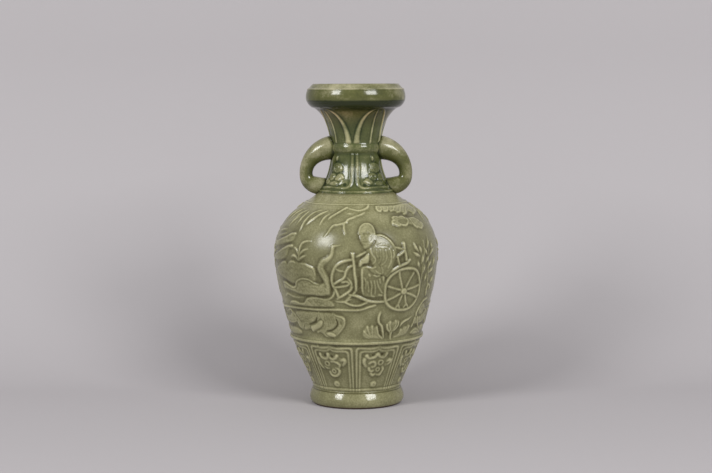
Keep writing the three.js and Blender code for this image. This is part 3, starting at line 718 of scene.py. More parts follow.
def crane(mould):
    mould.pad([(-65, 124.6), (-60.5, 125.8), (-57, 123.6), (-52, 121.6), (-48.3, 123), (-47, 127.6),
               (-43.5, 131), (-38.5, 132.5), (-34, 131.2), (-31, 128.6), (-27, 127.4), (-23.5, 129.4),
               (-20.6, 134), (-19.5, 128), (-20, 121), (-20.8, 117.3), (-26, 115.6), (-34, 116),
               (-40, 115.6), (-46, 116.2), (-52, 117.8), (-58, 118.8), (-65, 120)],
              0.85, 2.6, moat=1.6, crown=0.15)
    mould.ridge([(-65.5, 125.4), (-60.5, 125.6), (-57, 123.8), (-52, 122), (-48.2, 123.4), (-47, 127.8),
                 (-43.4, 130.8), (-38.5, 132), (-34, 130.8), (-30.8, 128.2), (-27, 127)],
                (1.6, 2.8, 2.6, 2.6, 2.6, 2.8, 2.8, 2.6, 2.6, 2.4, 1.4), 1.3, 1.2)
    mould.ridge([(-20.6, 119), (-20.6, 126), (-21.4, 132.5), (-23.4, 138), (-25.1, 143.4), (-23.6, 149),
                 (-19.8, 152.4), (-17.2, 156.4), (-16.6, 161), (-16.2, 165)],
                (5, 6.6, 7.8, 8.2, 8, 7.4, 5.8, 4.4, 3.8, 4.8), 1.2)
    mould.ridge([(-15.6, 165.2), (-11.4, 166.4)], (2.2, 1), 1.1)
    mould.groove([(-21.6, 133.5), (-23.5, 138.6), (-25, 143.2), (-23.5, 148), (-20.5, 150.5)],
                 (1.4, 2.4, 2.4, 2, 1), 0.45)
    mould.ridge([(-23, 124.8), (-21.5, 121.8), (-21.6, 117.8)], (1.4, 2.2, 1.4), 1.4, 0.3)
    feathers = [(-42, 127.5), (-38, 129), (-34, 127), (-44, 123.5), (-39.5, 124.5), (-35, 123.6),
                (-30.5, 123.4), (-46, 119.8), (-41, 120.2), (-36, 120), (-31, 119.6), (-26.5, 120.4)]
    nicks(mould, feathers, [(-1.8, 0.8), (0, -0.8), (1.8, 0.5)], 1.2, 0.28)
    mould.ridge([(-56, 121.4), (-60, 121.8), (-65, 122.4)], (1, 1.6, 1), 1.1, 0.3)


def low_bird(mould):
    mould.pad([(-60, 104.6), (-57, 107.4), (-52, 107.8), (-47, 106.6), (-43, 106.8), (-41, 108.6),
               (-38.5, 111.6), (-34, 113.6), (-28, 113.4), (-21, 112.8), (-17.5, 110), (-17.2, 105.4),
               (-28, 104.8), (-45, 104.2)], 0.7, 1.8)
    mould.ridge([(-60.5, 104.8), (-57, 107), (-52, 107.4), (-47, 106.2), (-43, 106.4), (-40.8, 108.4),
                 (-38.6, 111.4), (-34, 113.2), (-28, 113), (-24, 112.2), (-19.8, 113.2), (-17, 116.4),
                 (-15.6, 121), (-15.2, 126.5)],
                (1, 2.4, 2.6, 2.2, 2.2, 2, 2.2, 2.2, 2, 1.8, 2, 2.2, 2, 1.2), 1.2)
    feathers = [(-36, 109.5), (-31, 110), (-27, 108.6), (-34, 107), (-29, 106.8), (-23, 107.6)]
    nicks(mould, feathers, [(-1.5, 0.8), (0, -0.9), (1.5, 0.5)], 1.4, 0.4)
    mould.ridge([(-26, 107.4), (-23, 107.8), (-20.5, 107), (-18.6, 107.8)], (1, 2, 2, 1), 1.0, 0.4)
    mould.ridge([(-66, 111.4), (-63, 113.6), (-60, 114.2), (-54, 112.6), (-48, 112.4), (-42, 112.8)],
                (1, 2, 1.8, 1.4, 1.4, 0.8), 0.8)


def water(mould):
    mould.ridge([(-78, 99.4), (-60, 101), (-45, 101.6), (-30, 101.7), (-20, 102.4), (-10, 102.5),
                 (0, 102.3), (5, 103.4), (9, 105.2), (14, 107)], 2.3, 1.0)


def back_water(mould):
    mould.ridge([(76, 100.6), (95, 102.4), (120, 100.8), (150, 102.6), (180, 100.8), (205, 102.4),
                 (235, 101), (262, 102.2), (286, 100)], 2.3, 1.0)


def rocks(mould):
    mould.pad([(-56, 96), (-50, 98.6), (-40, 99), (-30, 99.4), (-20, 99), (-17.5, 97.6), (-14, 95.9),
               (-10, 95.4), (-8.6, 92.5), (-8.8, 88), (-10.3, 84), (-13.4, 79.5), (-17, 75.5), (-20, 74),
               (-26, 74), (-30, 78), (-36, 79), (-41, 81), (-45, 80), (-50, 80), (-54, 86)], 0.7, 2.2)
    mould.ridge([(-18, 98.4), (-15.5, 96.4), (-12, 95.2), (-9.9, 93.3), (-9.6, 89), (-11, 84.8),
                 (-13.8, 80.4), (-17, 76.3), (-18.8, 73.6)],
                (1.6, 2.2, 3, 3.2, 2.6, 2.2, 2, 1.8, 1), 1.2)
    mould.groove([(-16, 93.4), (-15, 88.4), (-17, 84.4), (-20.5, 81.6), (-25, 80.6)],
                 (1, 2, 2.4, 2.2, 1), 0.9)
    mould.groove([(-12.4, 90.4), (-12.2, 88)], (1.6, 1.4), 0.6)
    mould.groove([(-41.5, 85.8), (-37, 87.8), (-33.8, 90), (-32.2, 94)], (1.4, 2.4, 2.6, 1.2), 0.9)
    mould.pad([(-40.2, 84.4), (-37, 86), (-33.5, 88), (-31.4, 90.4), (-28.8, 91.8), (-27, 90),
               (-27.8, 86.4), (-30, 83.4), (-33, 81.4), (-36, 79.8), (-38.5, 78.6), (-40, 81)], 1.2, 2.2)
    mould.pad([(-26.2, 78.4), (-23.5, 80), (-20, 79.6), (-17.2, 77.2), (-18, 74.6), (-23.6, 75.2)],
              1.1, 1.6)
    strokes(mould, [[(-45, 96), (-41, 97.2), (-36, 96), (-33, 97)],
                    [(-30, 99.4), (-30.8, 95.8), (-29.6, 93.2)],
                    [(-25.5, 98), (-24.4, 94.6), (-25, 91.4)],
                    [(-22.2, 92.6), (-21.8, 89), (-22.6, 85.6)],
                    [(-18.4, 98.6), (-19.2, 94.6), (-18.2, 91)],
                    [(-52.5, 91), (-48, 93.4), (-43, 92.6), (-38, 93.6)],
                    [(-47, 88.6), (-43.4, 90.2), (-40.4, 88.6)],
                    [(-46.8, 84), (-44, 85.4), (-42.6, 82.6)],
                    [(-34, 78.4), (-31, 80.4), (-27.6, 82.6), (-25.8, 86)]], 1.5, 1.0)
    mould.pad([(-76, 90), (-66, 92.4), (-60.5, 97), (-56, 95), (-52, 90), (-49, 86.6), (-47.8, 82.8),
               (-50, 79.8), (-54.6, 81.5), (-57, 86.4), (-65, 85.4), (-76, 85.4)], 0.7, 2)
    mould.ridge([(-48.4, 88), (-48.8, 83.4), (-50.8, 80.4)], (1.6, 2.8, 1.4), 1.1)
    mould.ridge([(-76, 85), (-66, 85), (-59, 86.6), (-55, 89)], (1.6, 2.2, 2, 1), 1.0)
    mould.ridge([(-67.5, 96.8), (-63.5, 98.2), (-60.4, 96.4), (-58.4, 92)], (1.2, 2, 2.6, 1), 1.0)
    mould.pad([(-76, 79.4), (-66, 80.6), (-58, 80.6), (-53.4, 78.6), (-53, 75.4), (-60, 73.4),
               (-76, 73.6)], 0.9, 2.8)


def wheel(mould):
    mould.pad([(36, 140), (43, 139.4), (48.5, 132), (50, 121), (48, 108), (42, 102.5), (36, 101.5),
               (29, 103.5), (23, 110), (22, 120), (23.5, 131), (29, 137.6)], -0.3, 2.2)
    rim = [(38, 142), (43.6, 140.7), (47.4, 137), (50, 130.6), (51.5, 123), (51.6, 116), (50, 109.4),
           (46.8, 104.4), (42.4, 101.3), (37, 100.5), (31, 101.6), (26, 104.4), (22.6, 108.6),
           (20.9, 114.4), (20.5, 121.4), (21.3, 128.8), (24.2, 135.2), (29, 139.5), (33.5, 141.5),
           (38, 142)]
    mould.ridge(rim, 3.2, 1.1)
    spokes = [[(33.8, 120.6), (29, 122.4), (23, 125.2)],
              [(34.4, 122), (33, 128), (31.4, 134.6), (31, 138.8)],
              [(37.2, 122.2), (40, 129.6), (43.6, 137)], [(38.4, 120.8), (45, 122.2), (50.4, 124.2)],
              [(38.5, 117.6), (44.5, 114.8), (49.8, 111.6)], [(37.2, 116.2), (38.7, 110), (39.9, 105)],
              [(35, 116.2), (33.3, 109.8), (32.1, 104.6)], [(33.6, 117.6), (28.4, 114.2), (23, 111.4)]]
    strokes(mould, spokes, (2.6, 2.2, 2.6), 1.0)
    strokes(mould, [[(32.3, 107), (30.6, 103.4)], [(32.3, 107), (33.9, 103)], [(39.8, 107), (37.8, 103)],
                    [(39.8, 107), (41.9, 103.4)]], 1.6, 1.1)
    hub = [(36 + 2.7 * sin(radians(a)), 119.3 + 3.4 * cos(radians(a))) for a in range(0, 360, 45)]
    mould.pad(hub, 1.35, 1.6)
    mould.groove([(35.2, 119.3), (36, 120.3), (36.8, 119.3), (36, 118.3), (35.2, 119.3)], 0.9, 0.4)


def far_wheel(mould):
    mould.pad([(-3, 152), (-10, 149), (-15, 144), (-17, 134), (-16, 126), (-13, 114), (-4, 114),
               (-2, 130)], -0.1, 2)
    mould.ridge([(-3, 152.4), (-7, 151.3), (-11, 149), (-14.5, 145), (-16.5, 139), (-17.3, 132.5),
                 (-16.6, 127), (-14.4, 121.5), (-13, 115.5)], 3.0, 1.05)
    mould.ridge([(-3, 146.6), (-5.5, 144.2), (-7.3, 140), (-8, 136), (-9.8, 133), (-12.6, 131),
                 (-15.4, 128.4)], 2.5, 1.2)
    mould.ridge([(-14.4, 143.6), (-11.6, 141.4), (-8.6, 141)], (1.2, 1.8, 1.2), 1.0)
    mould.ridge([(-15, 125), (-10.5, 125.6), (-6.4, 127), (-5, 128.8), (-6.6, 130.8), (-10, 130)],
                2.0, 1.1)
    mould.ridge([(-6, 134.4), (-4.4, 131.6), (-3.2, 128), (-4.4, 124.6)], (1, 1.8, 1.8, 1.2), 1.1)
    mould.ridge([(-2.8, 125.6), (-5, 121.4), (-9, 117.4), (-14, 113.4)], (2, 2.8, 2.8, 1.6), 1.2)
    mould.ridge([(0, 124), (-1, 120.6), (-3.6, 117), (-7, 113)], (2, 2.4, 2.2, 1.4), 1.2)


def pole(mould):
    mould.ridge([(-15, 110.8), (-9.5, 110.6), (-6, 112.6), (-3.6, 113.4)], (1.2, 1.8, 1.8, 1), 1.0)
    mould.ridge([(-8.4, 110.4), (-5.2, 108.2), (-2, 107), (2, 107), (5.2, 108.6), (8, 110.2)], 2.3, 1.1)
    mould.ridge([(-5.4, 117.8), (-0.5, 116.8), (4, 114.2), (9, 111.3), (15, 110.2), (21, 110.4)],
                (1.8, 3.8, 4.2, 3.2, 2.8, 2.4), 1.3)


def post(mould):
    mould.ridge([(-2.5, 158), (-2.1, 153), (-1.5, 146), (-1.2, 139), (-0.4, 131), (-0.3, 122)],
                (3.8, 2.8, 3, 2.8, 3, 2.4), 1.4)


def seat(mould):
    mould.ridge([(35.1, 166.8), (35.3, 161), (36, 155), (36.4, 150.4)], (3.8, 2.8, 3, 3.2), 1.3)
    mould.ridge([(24.6, 152), (28, 153.7), (31.5, 156.2), (35.2, 159.4)], 2.4, 1.2)
    mould.ridge([(29.2, 154), (29.8, 150), (30.9, 145.6)], 1.9, 1.2)
    mould.ridge([(25, 151), (25.1, 146), (25.4, 142)], 1.6, 1.1)
    mould.ridge([(39.4, 150.3), (37.2, 147.5), (33.5, 145.7), (30, 144), (27, 141.8), (23.5, 139.3),
                 (21.2, 136.4)], 3.0, 1.2)


def seated_figure(mould):
    mould.pad([(12.6, 175.6), (16.5, 176.2), (20, 174.8), (23, 172), (25.6, 168), (27.2, 164.4),
               (28.6, 160), (28.2, 154), (26.4, 149), (25, 143), (22.4, 138), (18.5, 134.5), (12, 133),
               (6, 134), (3.8, 137), (3.6, 144), (6, 145.4), (10.6, 144.6), (11.4, 148), (9, 152),
               (8.2, 158), (6.5, 161), (8, 164), (10, 168)], 0.5, 2.6, crown=0.45)
    mould.ridge([(14.4, 175.4), (18, 175.2), (21.5, 173), (24.4, 169.4), (26.6, 164.9), (28, 160)],
                (2, 3, 3, 3, 2.6, 1.4), 1.3)
    mould.pad([(3.6, 144.6), (3.2, 135), (3.8, 125), (4.4, 117.4), (8, 115.6), (13, 115), (19.6, 115.6),
               (20.4, 122), (20.4, 130), (19.6, 135.6), (14, 137), (10, 140), (6.5, 145)], 0.4, 1.6)
    mould.ridge([(3.9, 144.4), (3.8, 138), (4.1, 130), (4.1, 124), (4.9, 118)],
                (2, 2.6, 2.8, 2.6, 1.6), 1.3)
    mould.ridge([(4.2, 144.4), (6.8, 145), (10.4, 143.8), (13.4, 145)], (1.4, 2, 1.8, 2.4), 1.2)
    folds = [[(7.6, 131.4), (8.3, 126), (8.6, 120.6)],
             [(9.9, 131.6), (10.8, 126), (10.4, 120), (11, 116.4), (12.8, 115.9)],
             [(12.3, 131.6), (13.3, 125), (13.3, 118.4)],
             [(14.3, 131.4), (15.4, 126), (17, 122), (18.6, 119)],
             [(16.2, 133.4), (16.7, 128.6)], [(5.6, 134.6), (6.6, 130.4), (6.5, 124)]]
    strokes(mould, folds, 2.0, 1.15)
    mould.ridge([(18.7, 135), (19, 130.6)], (2.6, 1.8), 1.2)
    mould.ridge([(16, 117.4), (18.2, 117)], (2.8, 2.8), 1.1)
    strokes(mould, [[(8.6, 138.2), (9.4, 136)], [(12, 137), (14, 135.6), (16, 136.4)],
                    [(13, 142), (15, 139), (18, 138)], [(16.6, 146), (18.2, 142), (18, 138.4)]],
            2.0, 1.3)
    sleeve = [[(13.6, 162), (13.6, 158.4), (14.8, 154)],
              [(16.2, 162), (16.7, 156), (16.4, 151.4), (15, 148.6)],
              [(20.4, 161), (20.9, 155), (19.6, 149.6), (16.8, 146.6)],
              [(23.4, 162), (24.4, 156), (23.8, 149), (21.8, 143.6)],
              [(26.2, 160.6), (26.4, 156), (25.6, 153)]]
    for line, width in zip(sleeve, (2, 2.2, 3, 2.6, 2.2)):
        mould.ridge(line, width, 1.15, 0.8)
    mould.ridge([(14.6, 165.6), (19, 166.4), (23.4, 165)], (1.6, 2.6, 1.6), 1.1)
    mould.ridge([(26, 164), (30, 162.6), (34, 161)], (1.6, 2.2, 1.6), 1.1)
    mould.ridge([(9.2, 164), (9.8, 160), (11.2, 156), (12.9, 153), (12.6, 150.4), (11, 148)],
                (1.8, 1.8, 1.6, 1.9, 1.8, 1), 1.4)
    mould.ridge([(0, 155), (3, 157.2), (6.4, 159.8)], (1.6, 2.4, 1.6), 1.25)
    mould.pad([(1.7, 145.8), (1.9, 150.4), (3.8, 153.6), (6.2, 156.4), (7.8, 159), (9, 156.4),
               (8.6, 151), (7.6, 148.8), (4.4, 148), (3.2, 145.8)], 1.2, 1.8)
    mould.groove([(3.4, 151.6), (4.8, 150.6), (6.4, 151)], 0.9, 0.35)
    mould.pad([(5.4, 163), (4.4, 166.4), (3, 170), (2.2, 174), (2.2, 178.6), (3.4, 183), (6, 186),
               (9, 186.6), (11.8, 184.4), (13.4, 180), (13.6, 174.6), (12.8, 169.4), (10.6, 165.4),
               (8, 163.2)], 0.95, 3.4, crown=0.2)
    mould.ridge([(2, 177), (2.7, 182), (5.4, 185.8), (9.2, 186.5), (12.2, 183.8), (13.4, 178),
                 (13.1, 171)], (1.6, 2, 2.2, 2.2, 2.4, 2.2, 1.2), 1.35, 0.4)
    mould.ridge([(10.6, 174.6), (11.4, 173), (10.9, 171), (10, 171.6)], 1.1, 1.4, 0.5)
    mould.ridge([(3.2, 177.2), (4.6, 177.6)], 1.3, 1.4, 0.6)
    mould.ridge([(6.6, 177.6), (9, 177.2)], 1.3, 1.4, 0.6)
    mould.ridge([(5.5, 176.6), (5, 173.8), (5.4, 172.4)], (1, 1.6, 1.9), 1.5, 0.5)
    mould.groove([(4.4, 169.8), (5.8, 169.4), (7.4, 169.8)], 1.3, 0.5)
    mould.groove([(4.8, 166.8), (6.2, 165.8), (7.8, 166.8)], 1.2, 0.25)


def bamboo(mould):
    mould.ridge([(50.6, 112), (52.4, 128), (53, 142), (54.6, 156), (55.4, 168)],
                (1.8, 1.6, 1.5, 1.4, 1), 0.9)
    mould.ridge([(63.6, 112), (62, 126), (60.6, 140), (60.4, 156), (62.4, 172)],
                (1.8, 1.6, 1.5, 1.4, 1), 0.9)
    leaves = [[(44.2, 167), (45.4, 162), (48, 157.4)], [(49.3, 163), (50.2, 159.5), (50.8, 156)],
              [(43, 157), (46, 154.6), (49.4, 152.6)], [(62, 169.4), (60.6, 164.6), (58, 159.2)],
              [(66.4, 164.5), (65.8, 161), (65.2, 158.5)], [(55.6, 159.5), (56.6, 156.4), (58.4, 153)],
              [(69.5, 158.5), (65, 155.8), (60.6, 151)], [(52.8, 154), (52.4, 149.6), (51.3, 145)],
              [(60.6, 152), (58.4, 149), (56.6, 145.4)], [(55.4, 144), (54.8, 140), (53.7, 135.4)],
              [(64.6, 146.6), (61.6, 143.4), (59.4, 139.4)], [(68.6, 139.4), (65, 136.8), (61, 134.6)],
              [(69.6, 150), (69.2, 145.5), (68, 141)], [(58.6, 134.6), (57.4, 130.6), (56.8, 127)],
              [(71.5, 130), (68.6, 127), (66.4, 123.5)], [(47.6, 148), (47.8, 145), (48.8, 142)]]
    for leaf in leaves:
        mould.ridge(leaf, (1.2, 4.4, 1.2), 1.3)


def broad_leaves(mould):
    strokes(mould, [[(66.6, 108.4), (61.6, 107.2), (58.4, 103.6)],
                    [(59, 104.6), (56, 100), (54.2, 95.6), (54.6, 92.6)],
                    [(62.6, 112.6), (62, 118), (63.6, 122.6), (66.2, 121.4), (67, 118.4)],
                    [(53.8, 90.4), (52.9, 86.4), (51.4, 82)],
                    [(57, 90.6), (58.6, 86), (61, 82), (64, 78)],
                    [(52.4, 75.6), (56, 78.4), (60.4, 78), (64, 76.2)],
                    [(60.6, 99.4), (63.6, 95.4), (64.4, 90)]], 2.8, 1.1)
    mould.pad([(66, 80.6), (70, 82), (76, 80), (76, 74.8), (67, 75.6)], 0.8, 2.2)
    mould.pad([(58, 102), (62, 104), (66, 101), (66, 95), (62, 92), (57.4, 95)], 0.5, 2.4)


def lotus(mould):
    mould.pad([(5, 77), (5, 80.6), (6.2, 82.4), (6.9, 84.8), (8.6, 86.8), (10.3, 85.3), (12.3, 87.2),
               (14.2, 85.4), (16.3, 85.8), (17.5, 82.5), (17.8, 79), (19, 76), (21.8, 72.6), (14, 73),
               (7.4, 73.6)], 0.6, 2.4)
    strokes(mould, [[(13, 74.4), (10.2, 79), (8.6, 85.4)], [(13.4, 74.4), (12.8, 80), (12.4, 85.8)],
                    [(12.4, 74.2), (8.4, 77.6), (6.2, 80.8)]], (1.4, 1.8, 2.8), 1.25)
    mould.ridge([(16.3, 85.2), (17.1, 81), (18.2, 77), (22, 72.8)], (1.8, 2, 2, 1.6), 1.2)
    mould.ridge([(18.8, 100.4), (17.5, 96.4), (17.2, 92), (18.2, 88.6), (20.4, 85.4), (21.5, 81),
                 (22.3, 77), (23, 73.6)], (0.9, 2.4, 2.6, 2.4, 2.4, 2.2, 2, 1.4), 1.35)
    mould.pad([(24.4, 87.4), (24.7, 83.4), (26.2, 79.8), (28.6, 77.6), (30.4, 77.6), (33.2, 79.8),
               (35.4, 82.4), (36.4, 86), (35.6, 89.8), (32.6, 91.4), (30, 89.2), (27.4, 90.6)], 0.6, 2.0)
    strokes(mould, [[(25, 86.8), (25.6, 82.6), (28.6, 78.6)], [(27.5, 89.4), (27.6, 85), (29.2, 79.8)],
                    [(32.4, 90.2), (33, 86), (31.2, 81.4), (29.6, 79)],
                    [(35.4, 88.6), (35, 84.6), (31.6, 80.2)]], 2.0, 1.3)
    mould.ridge([(29.4, 78.6), (29.2, 75), (29.6, 72)], (3, 2.6, 1.8), 1.2)
    mould.pad([(37.6, 79.2), (38.8, 81.2), (40.3, 80.8), (42, 83.5), (44.2, 82.9), (46, 84.8),
               (48.4, 84.4), (49.5, 81), (48, 78), (46, 75.2), (40, 73.6), (33, 72.8), (36.8, 76)],
              0.6, 2.4)
    strokes(mould, [[(40.6, 74.6), (43, 79), (44.2, 82)], [(42, 74.8), (46, 78.4), (48, 83)],
                    [(33, 73.4), (36.6, 75), (38.3, 77.8), (39.2, 80.4)]], (1.2, 1.6, 2.4), 1.2)
    mould.ridge([(37.6, 83.8), (38.9, 86.8), (41.8, 89), (45, 90.2), (48.6, 92.4)],
                (1.6, 3, 2.8, 2.4, 1), 1.25)


def pine(mould):
    mould.ridge([(184, 96), (182, 112), (186, 126), (181, 142), (184, 158), (180, 172)],
                (5, 4.4, 4, 3.6, 3, 2), 1.3)
    strokes(mould, [[(185, 126), (191, 132), (197, 134)], [(182, 140), (175, 147), (169, 149)],
                    [(183, 156), (190, 161), (195, 162)], [(182, 112), (174, 118), (168, 119)]],
            (2.6, 2.2, 1.4), 1.2)
    tuft = [(-9, -3), (-8, 1.5), (-4.5, 3), (-1, 5), (3.5, 3.6), (7, 2), (8.6, -2.6), (3, -4), (-3, -4)]
    for azimuth, height in [(197, 137), (168, 152), (196, 165), (180, 176), (166, 122), (204, 141)]:
        mould.pad([(azimuth + aside, height + up) for aside, up in tuft], 1.0, 2.2)
        for spread in (-60, -35, -12, 12, 35, 60):
            tip = (azimuth + 6.4 * sin(radians(spread)), height - 2.5 + 6 * cos(radians(spread)))
            mould.groove([(azimuth + 1.2 * sin(radians(spread)), height - 2), tip], (0.8, 1.2), 0.4)


# Each row turns its motifs round to an azimuth, and a side of -1 mirrors them. The back comes
# first, from copies of the front's.
for turn, side, *motifs in [
    (175, 1, hills, bush),
    (200, -1, hills, bush),
    (0, 1, back_water, pine),
    (175, 1, crane, low_bird),
    (200, -1, crane, low_bird, orchid),
    (130, 1, rocks),
    (215, -1, rocks),
    (160, 1, lotus),
    (40, 1, bamboo),
    (325, -1, bamboo),
    (150, 1, blades),
    (60, 1, clouds),
    (285, -1, clouds),
    (0, 1, blades, branch, clouds, hills, bush, orchid, rocks, water, low_bird, far_wheel, crane, pole),
    (0, 1, bamboo, broad_leaves, lotus, seat, seated_figure, wheel, post),
]:
    body_mould.turn, body_mould.side = turn, side
    for motif in motifs:
        motif(body_mould)
body_mould.finish()
body_mould.round_line(SHOULDER_LINE, 2, 0.9)
# The shoulder is painted paler towards the top, partly for glaze run thin there and partly as
# painted light from above. The glaze also runs thin low on the belly, and pools at the neck's foot.
heights = body_mould.z[:, None]
body_mould.thinness += 0.1 * smoothstep(178, 200, heights) + 0.06 * smoothstep(140, 100, heights)
body_mould.thinness -= 0.3 * smoothstep(210, NECK_BASE, heights)
belly = section("belly_moulded", belly_wall, BAND_TOP, GIRTH, rows=120, inner_rows=12, columns=720)
coated(belly, body_glaze, body_mould.press(belly, body_swell))
stand_in(belly, "belly")

# Shoulder: the section from the girth up to the neck, with the top of the scene, a raised line
# and a plain collar that the neck was luted into.
shoulder = section(
    "shoulder_moulded", upper_wall, GIRTH, NECK_BASE, rows=118, inner_rows=14, columns=720
)
coated(shoulder, body_glaze, body_mould.press(shoulder, body_swell))
stand_in(shoulder, "shoulder")

# Neck: the flared foot of the neck, pressed in a mould with four flower panels under a heavy round
# moulding, and luted into the collar. Its green glaze is deeper and lies thicker than the body's.
RING_TOP = 261
RING_FOOT = 252.5
NECK_RADIUS = 24.3
RING_SEAM_RADIUS = 24.6
NECK_TURN = -2.6
NECK_PANELS = 4
NECK_DEGREE = 2.25

neck_wall = np.concatenate([
    stretch((NECK_BASE_RADIUS, NECK_BASE), -0.9, 0.475, (NECK_RADIUS, RING_FOOT), 0, 0.075),
    stretch((NECK_RADIUS, RING_FOOT), 0, 0.35, (RING_SEAM_RADIUS, RING_TOP), 0.1, 0.35)[1:],
])


def curl(azimuth, height, width, start, side=1):
    """Points of a scroll that winds in to its eye in one turn and a quarter"""
    points, per_turn, turns = [], 9, 1.25
    for i in range(int(turns * per_turn) + 1):
        turn = radians(start) + side * i * 2 * pi / per_turn
        reach = width / 2 * (1 - 0.78 * i / (turns * per_turn))
        points.append((azimuth + reach * NECK_DEGREE * sin(turn), height + reach * cos(turn)))
    return points


def neck_frames(mould):
    mould.pad([(-36.5, 222), (-37, 247.8), (-30, 249.6), (30, 249.6), (37, 247.8), (36.5, 222),
               (30, 220), (-30, 220)], -0.45, 1.8)
    half = [(-39.4, 250.6), (-39.4, 240), (-39.2, 228), (-38.4, 222.6), (-35, 219.4), (-29, 218),
            (-16, 218.2), (0, 218.6)]
    mould.ridge(mirrored(half), (3.6, 4, 3, 2, 3, 4, 3.6), 1.0, 0.5)


def neck_flower(mould):
    mould.pad([(-10, 241), (0, 243), (14, 241), (19, 237), (18, 232), (23, 229), (23, 224), (12, 220.8),
               (-4, 220.6), (-24, 221.6), (-27, 225), (-17, 231.6), (-12, 236)], 0.5, 2.4)
    mould.pad([(-8, 241), (-11, 237), (-8, 233), (1.5, 231.8), (14, 233.4), (19, 237), (13, 241),
               (1.7, 242.2)], 1.2, 3, 0.3, 0.5)
    mould.pad([(-14.6, 231.4), (-17.6, 227.8), (-11, 224.8), (-1, 225.4), (5, 229.3), (-3, 232.6)],
              1.2, 2.6, 0.3, 0.5)
    mould.pad([(8, 231.4), (19.6, 231), (23.4, 227.2), (14, 224.4), (2.8, 225.3)], 1.2, 2.6, 0.3, 0.5)
    mould.pad([(-28, 224.4), (-20, 221.4), (-12, 221.4), (-8.6, 224.4), (-19, 227.2)], 1.1, 2.4, 0.3, 0.5)
    mould.pad([(-7, 222), (3, 224.8), (13, 223.2), (10, 220.3), (0, 220)], 1.0, 2, 0.3, 0.5)
    mould.ridge(curl(3, 237, 7, 200), (2.2, 2.2, 2, 1.6), 1.5, 0.3)
    mould.ridge(curl(-6.4, 228.8, 5.6, 160, side=-1), (2, 2, 1.8, 1.4), 1.5, 0.3)
    mould.ridge([(8, 227), (14, 229), (19.6, 227.4), (16, 225.8)], 1.8, 1.5, 0.3)
    mould.pad(ring_of(-0.8, 246.4, 3.8, 5.4, NECK_DEGREE), 1.4, 1.9)


neck_mould = Mould(neck_wall, columns=560, pitch=0.4)
for panel in range(NECK_PANELS):
    neck_mould.turn = NECK_TURN + (panel + 0.5) * 360 / NECK_PANELS
    neck_mould.groove([(-180 / NECK_PANELS, height) for height in (249.6, 232, 216.4)], (2, 2, 3), 0.6)
    neck_frames(neck_mould)
    neck_flower(neck_mould)
    pits(neck_mould, [(-20, 229.6), (20, 233.4), (-27, 220.8), (27, 221.4)], 3.4, NECK_DEGREE)
neck_mould.finish()
neck_mould.round_line(214.2, 2.6, 0.8)
neck_mould.round_line(256.5, 8.4, 1.4, 0.08)
pale = neck_mould.thinness > 0.5
neck_mould.thinness = 0.53 + (neck_mould.thinness - 0.5) * np.where(pale, 0.5, 1)


def neck_swell(height):
    """The panels' ground lies lower than the moulding and the foot of the neck"""
    return -0.6 * smoothstep(216, 218, height) * smoothstep(253, 250.5, height)


neck_glaze = glaze(
    "deep_celadon_glaze",
    pool_and_shade=(0.02, 0.03, 0.007),
    ground=(0.08, 0.09, 0.03),
    thin=(0.37, 0.35, 0.19),
    rough=0.13,
    mottle=0.8,
)
neck = section("neck_moulded", neck_wall, NECK_BASE, RING_TOP, rows=120, inner_rows=12, columns=560)
coated(neck, neck_glaze, neck_mould.press(neck, neck_swell))
stand_in(neck, "neck_panels")

# Trumpet: the upper neck, which opens in a flare. It was pressed in a mould with four tall banana
# leaves that end in points under the dish, and luted on the neck's moulding. The neck's glaze runs
# on over it, with a tinge of iron towards the top. Just under the dish it is painted dark, partly as
# pooled glaze and partly as painted shade.
FLARE_TOP = 297
FLARE_RADIUS = 44.3
LEAF_TURNS = (35.5, 125.5, 217, 309)
IRON_LOW = 276
IRON_HIGH = 293
IRON_TINGE = (1.1, 0.87, 0.8)

trumpet_wall = stretch((RING_SEAM_RADIUS, RING_TOP), 0.12, 0.22, (FLARE_RADIUS, FLARE_TOP), 2, 0.47)


def banana_leaf(mould):
    edge = [(33.5, 261), (33, 266), (31.6, 270.5), (29.4, 275), (25.6, 281), (20.2, 287), (14.4, 291.6),
            (7.4, 294.8), (0, 296.4)]
    back = [(-azimuth, height) for azimuth, height in edge]
    mould.pad(mirrored(edge), 0.2, 2)
    mould.ridge([(0, 260.6), (0.4, 270), (0, 280), (-1, 288), (-1.6, 294)],
                (3.2, 3, 2.8, 2.4, 1.4), 1.05, 0.7, 0.16)
    widths = (7.2, 6.6, 6, 5.4, 4.6, 3.8, 3, 2.2, 1.6)
    for line in (edge, back):
        mould.ridge(line, widths, 1.25, 0.9, 0.34)


trumpet_mould = Mould(trumpet_wall, columns=700, pitch=0.4)
for turn in LEAF_TURNS:
    trumpet_mould.turn = turn
    banana_leaf(trumpet_mould)
heights = trumpet_mould.z[:, None]
trumpet_mould.rise *= smoothstep(RING_TOP, RING_TOP + 1.5, heights)
trumpet_mould.finish()
pale = trumpet_mould.thinness > 0.5
trumpet_mould.thinness = 0.48 + (trumpet_mould.thinness - 0.5) * np.where(pale, 0.8, 1.5)
# Painted shade: the flare is painted dark just under the dish, partly for pooled glaze and partly for the
# dish's shade.
trumpet_mould.thinness -= 0.4 * smoothstep(292, 295.5, heights)


def trumpet_swell(height):
    """The flare's ground lies a little lower between its two seams"""
    low, high = smoothstep(RING_TOP, RING_TOP + 1, height), smoothstep(FLARE_TOP, FLARE_TOP - 2, height)
    return -0.5 * low * high


trumpet = section(
    "trumpet_moulded", trumpet_wall, RING_TOP, FLARE_TOP, rows=110, inner_rows=12, columns=700
)
trumpet_glaze = neck_glaze.copy()
trumpet_glaze.name = "deep_celadon_glaze_with_iron"
tinted(trumpet_glaze, height_fade(trumpet_glaze, IRON_LOW, IRON_HIGH), IRON_TINGE, "MULTIPLY")
coated(trumpet, trumpet_glaze, trumpet_mould.press(trumpet, trumpet_swell))
stand_in(trumpet, "neck_trumpet")
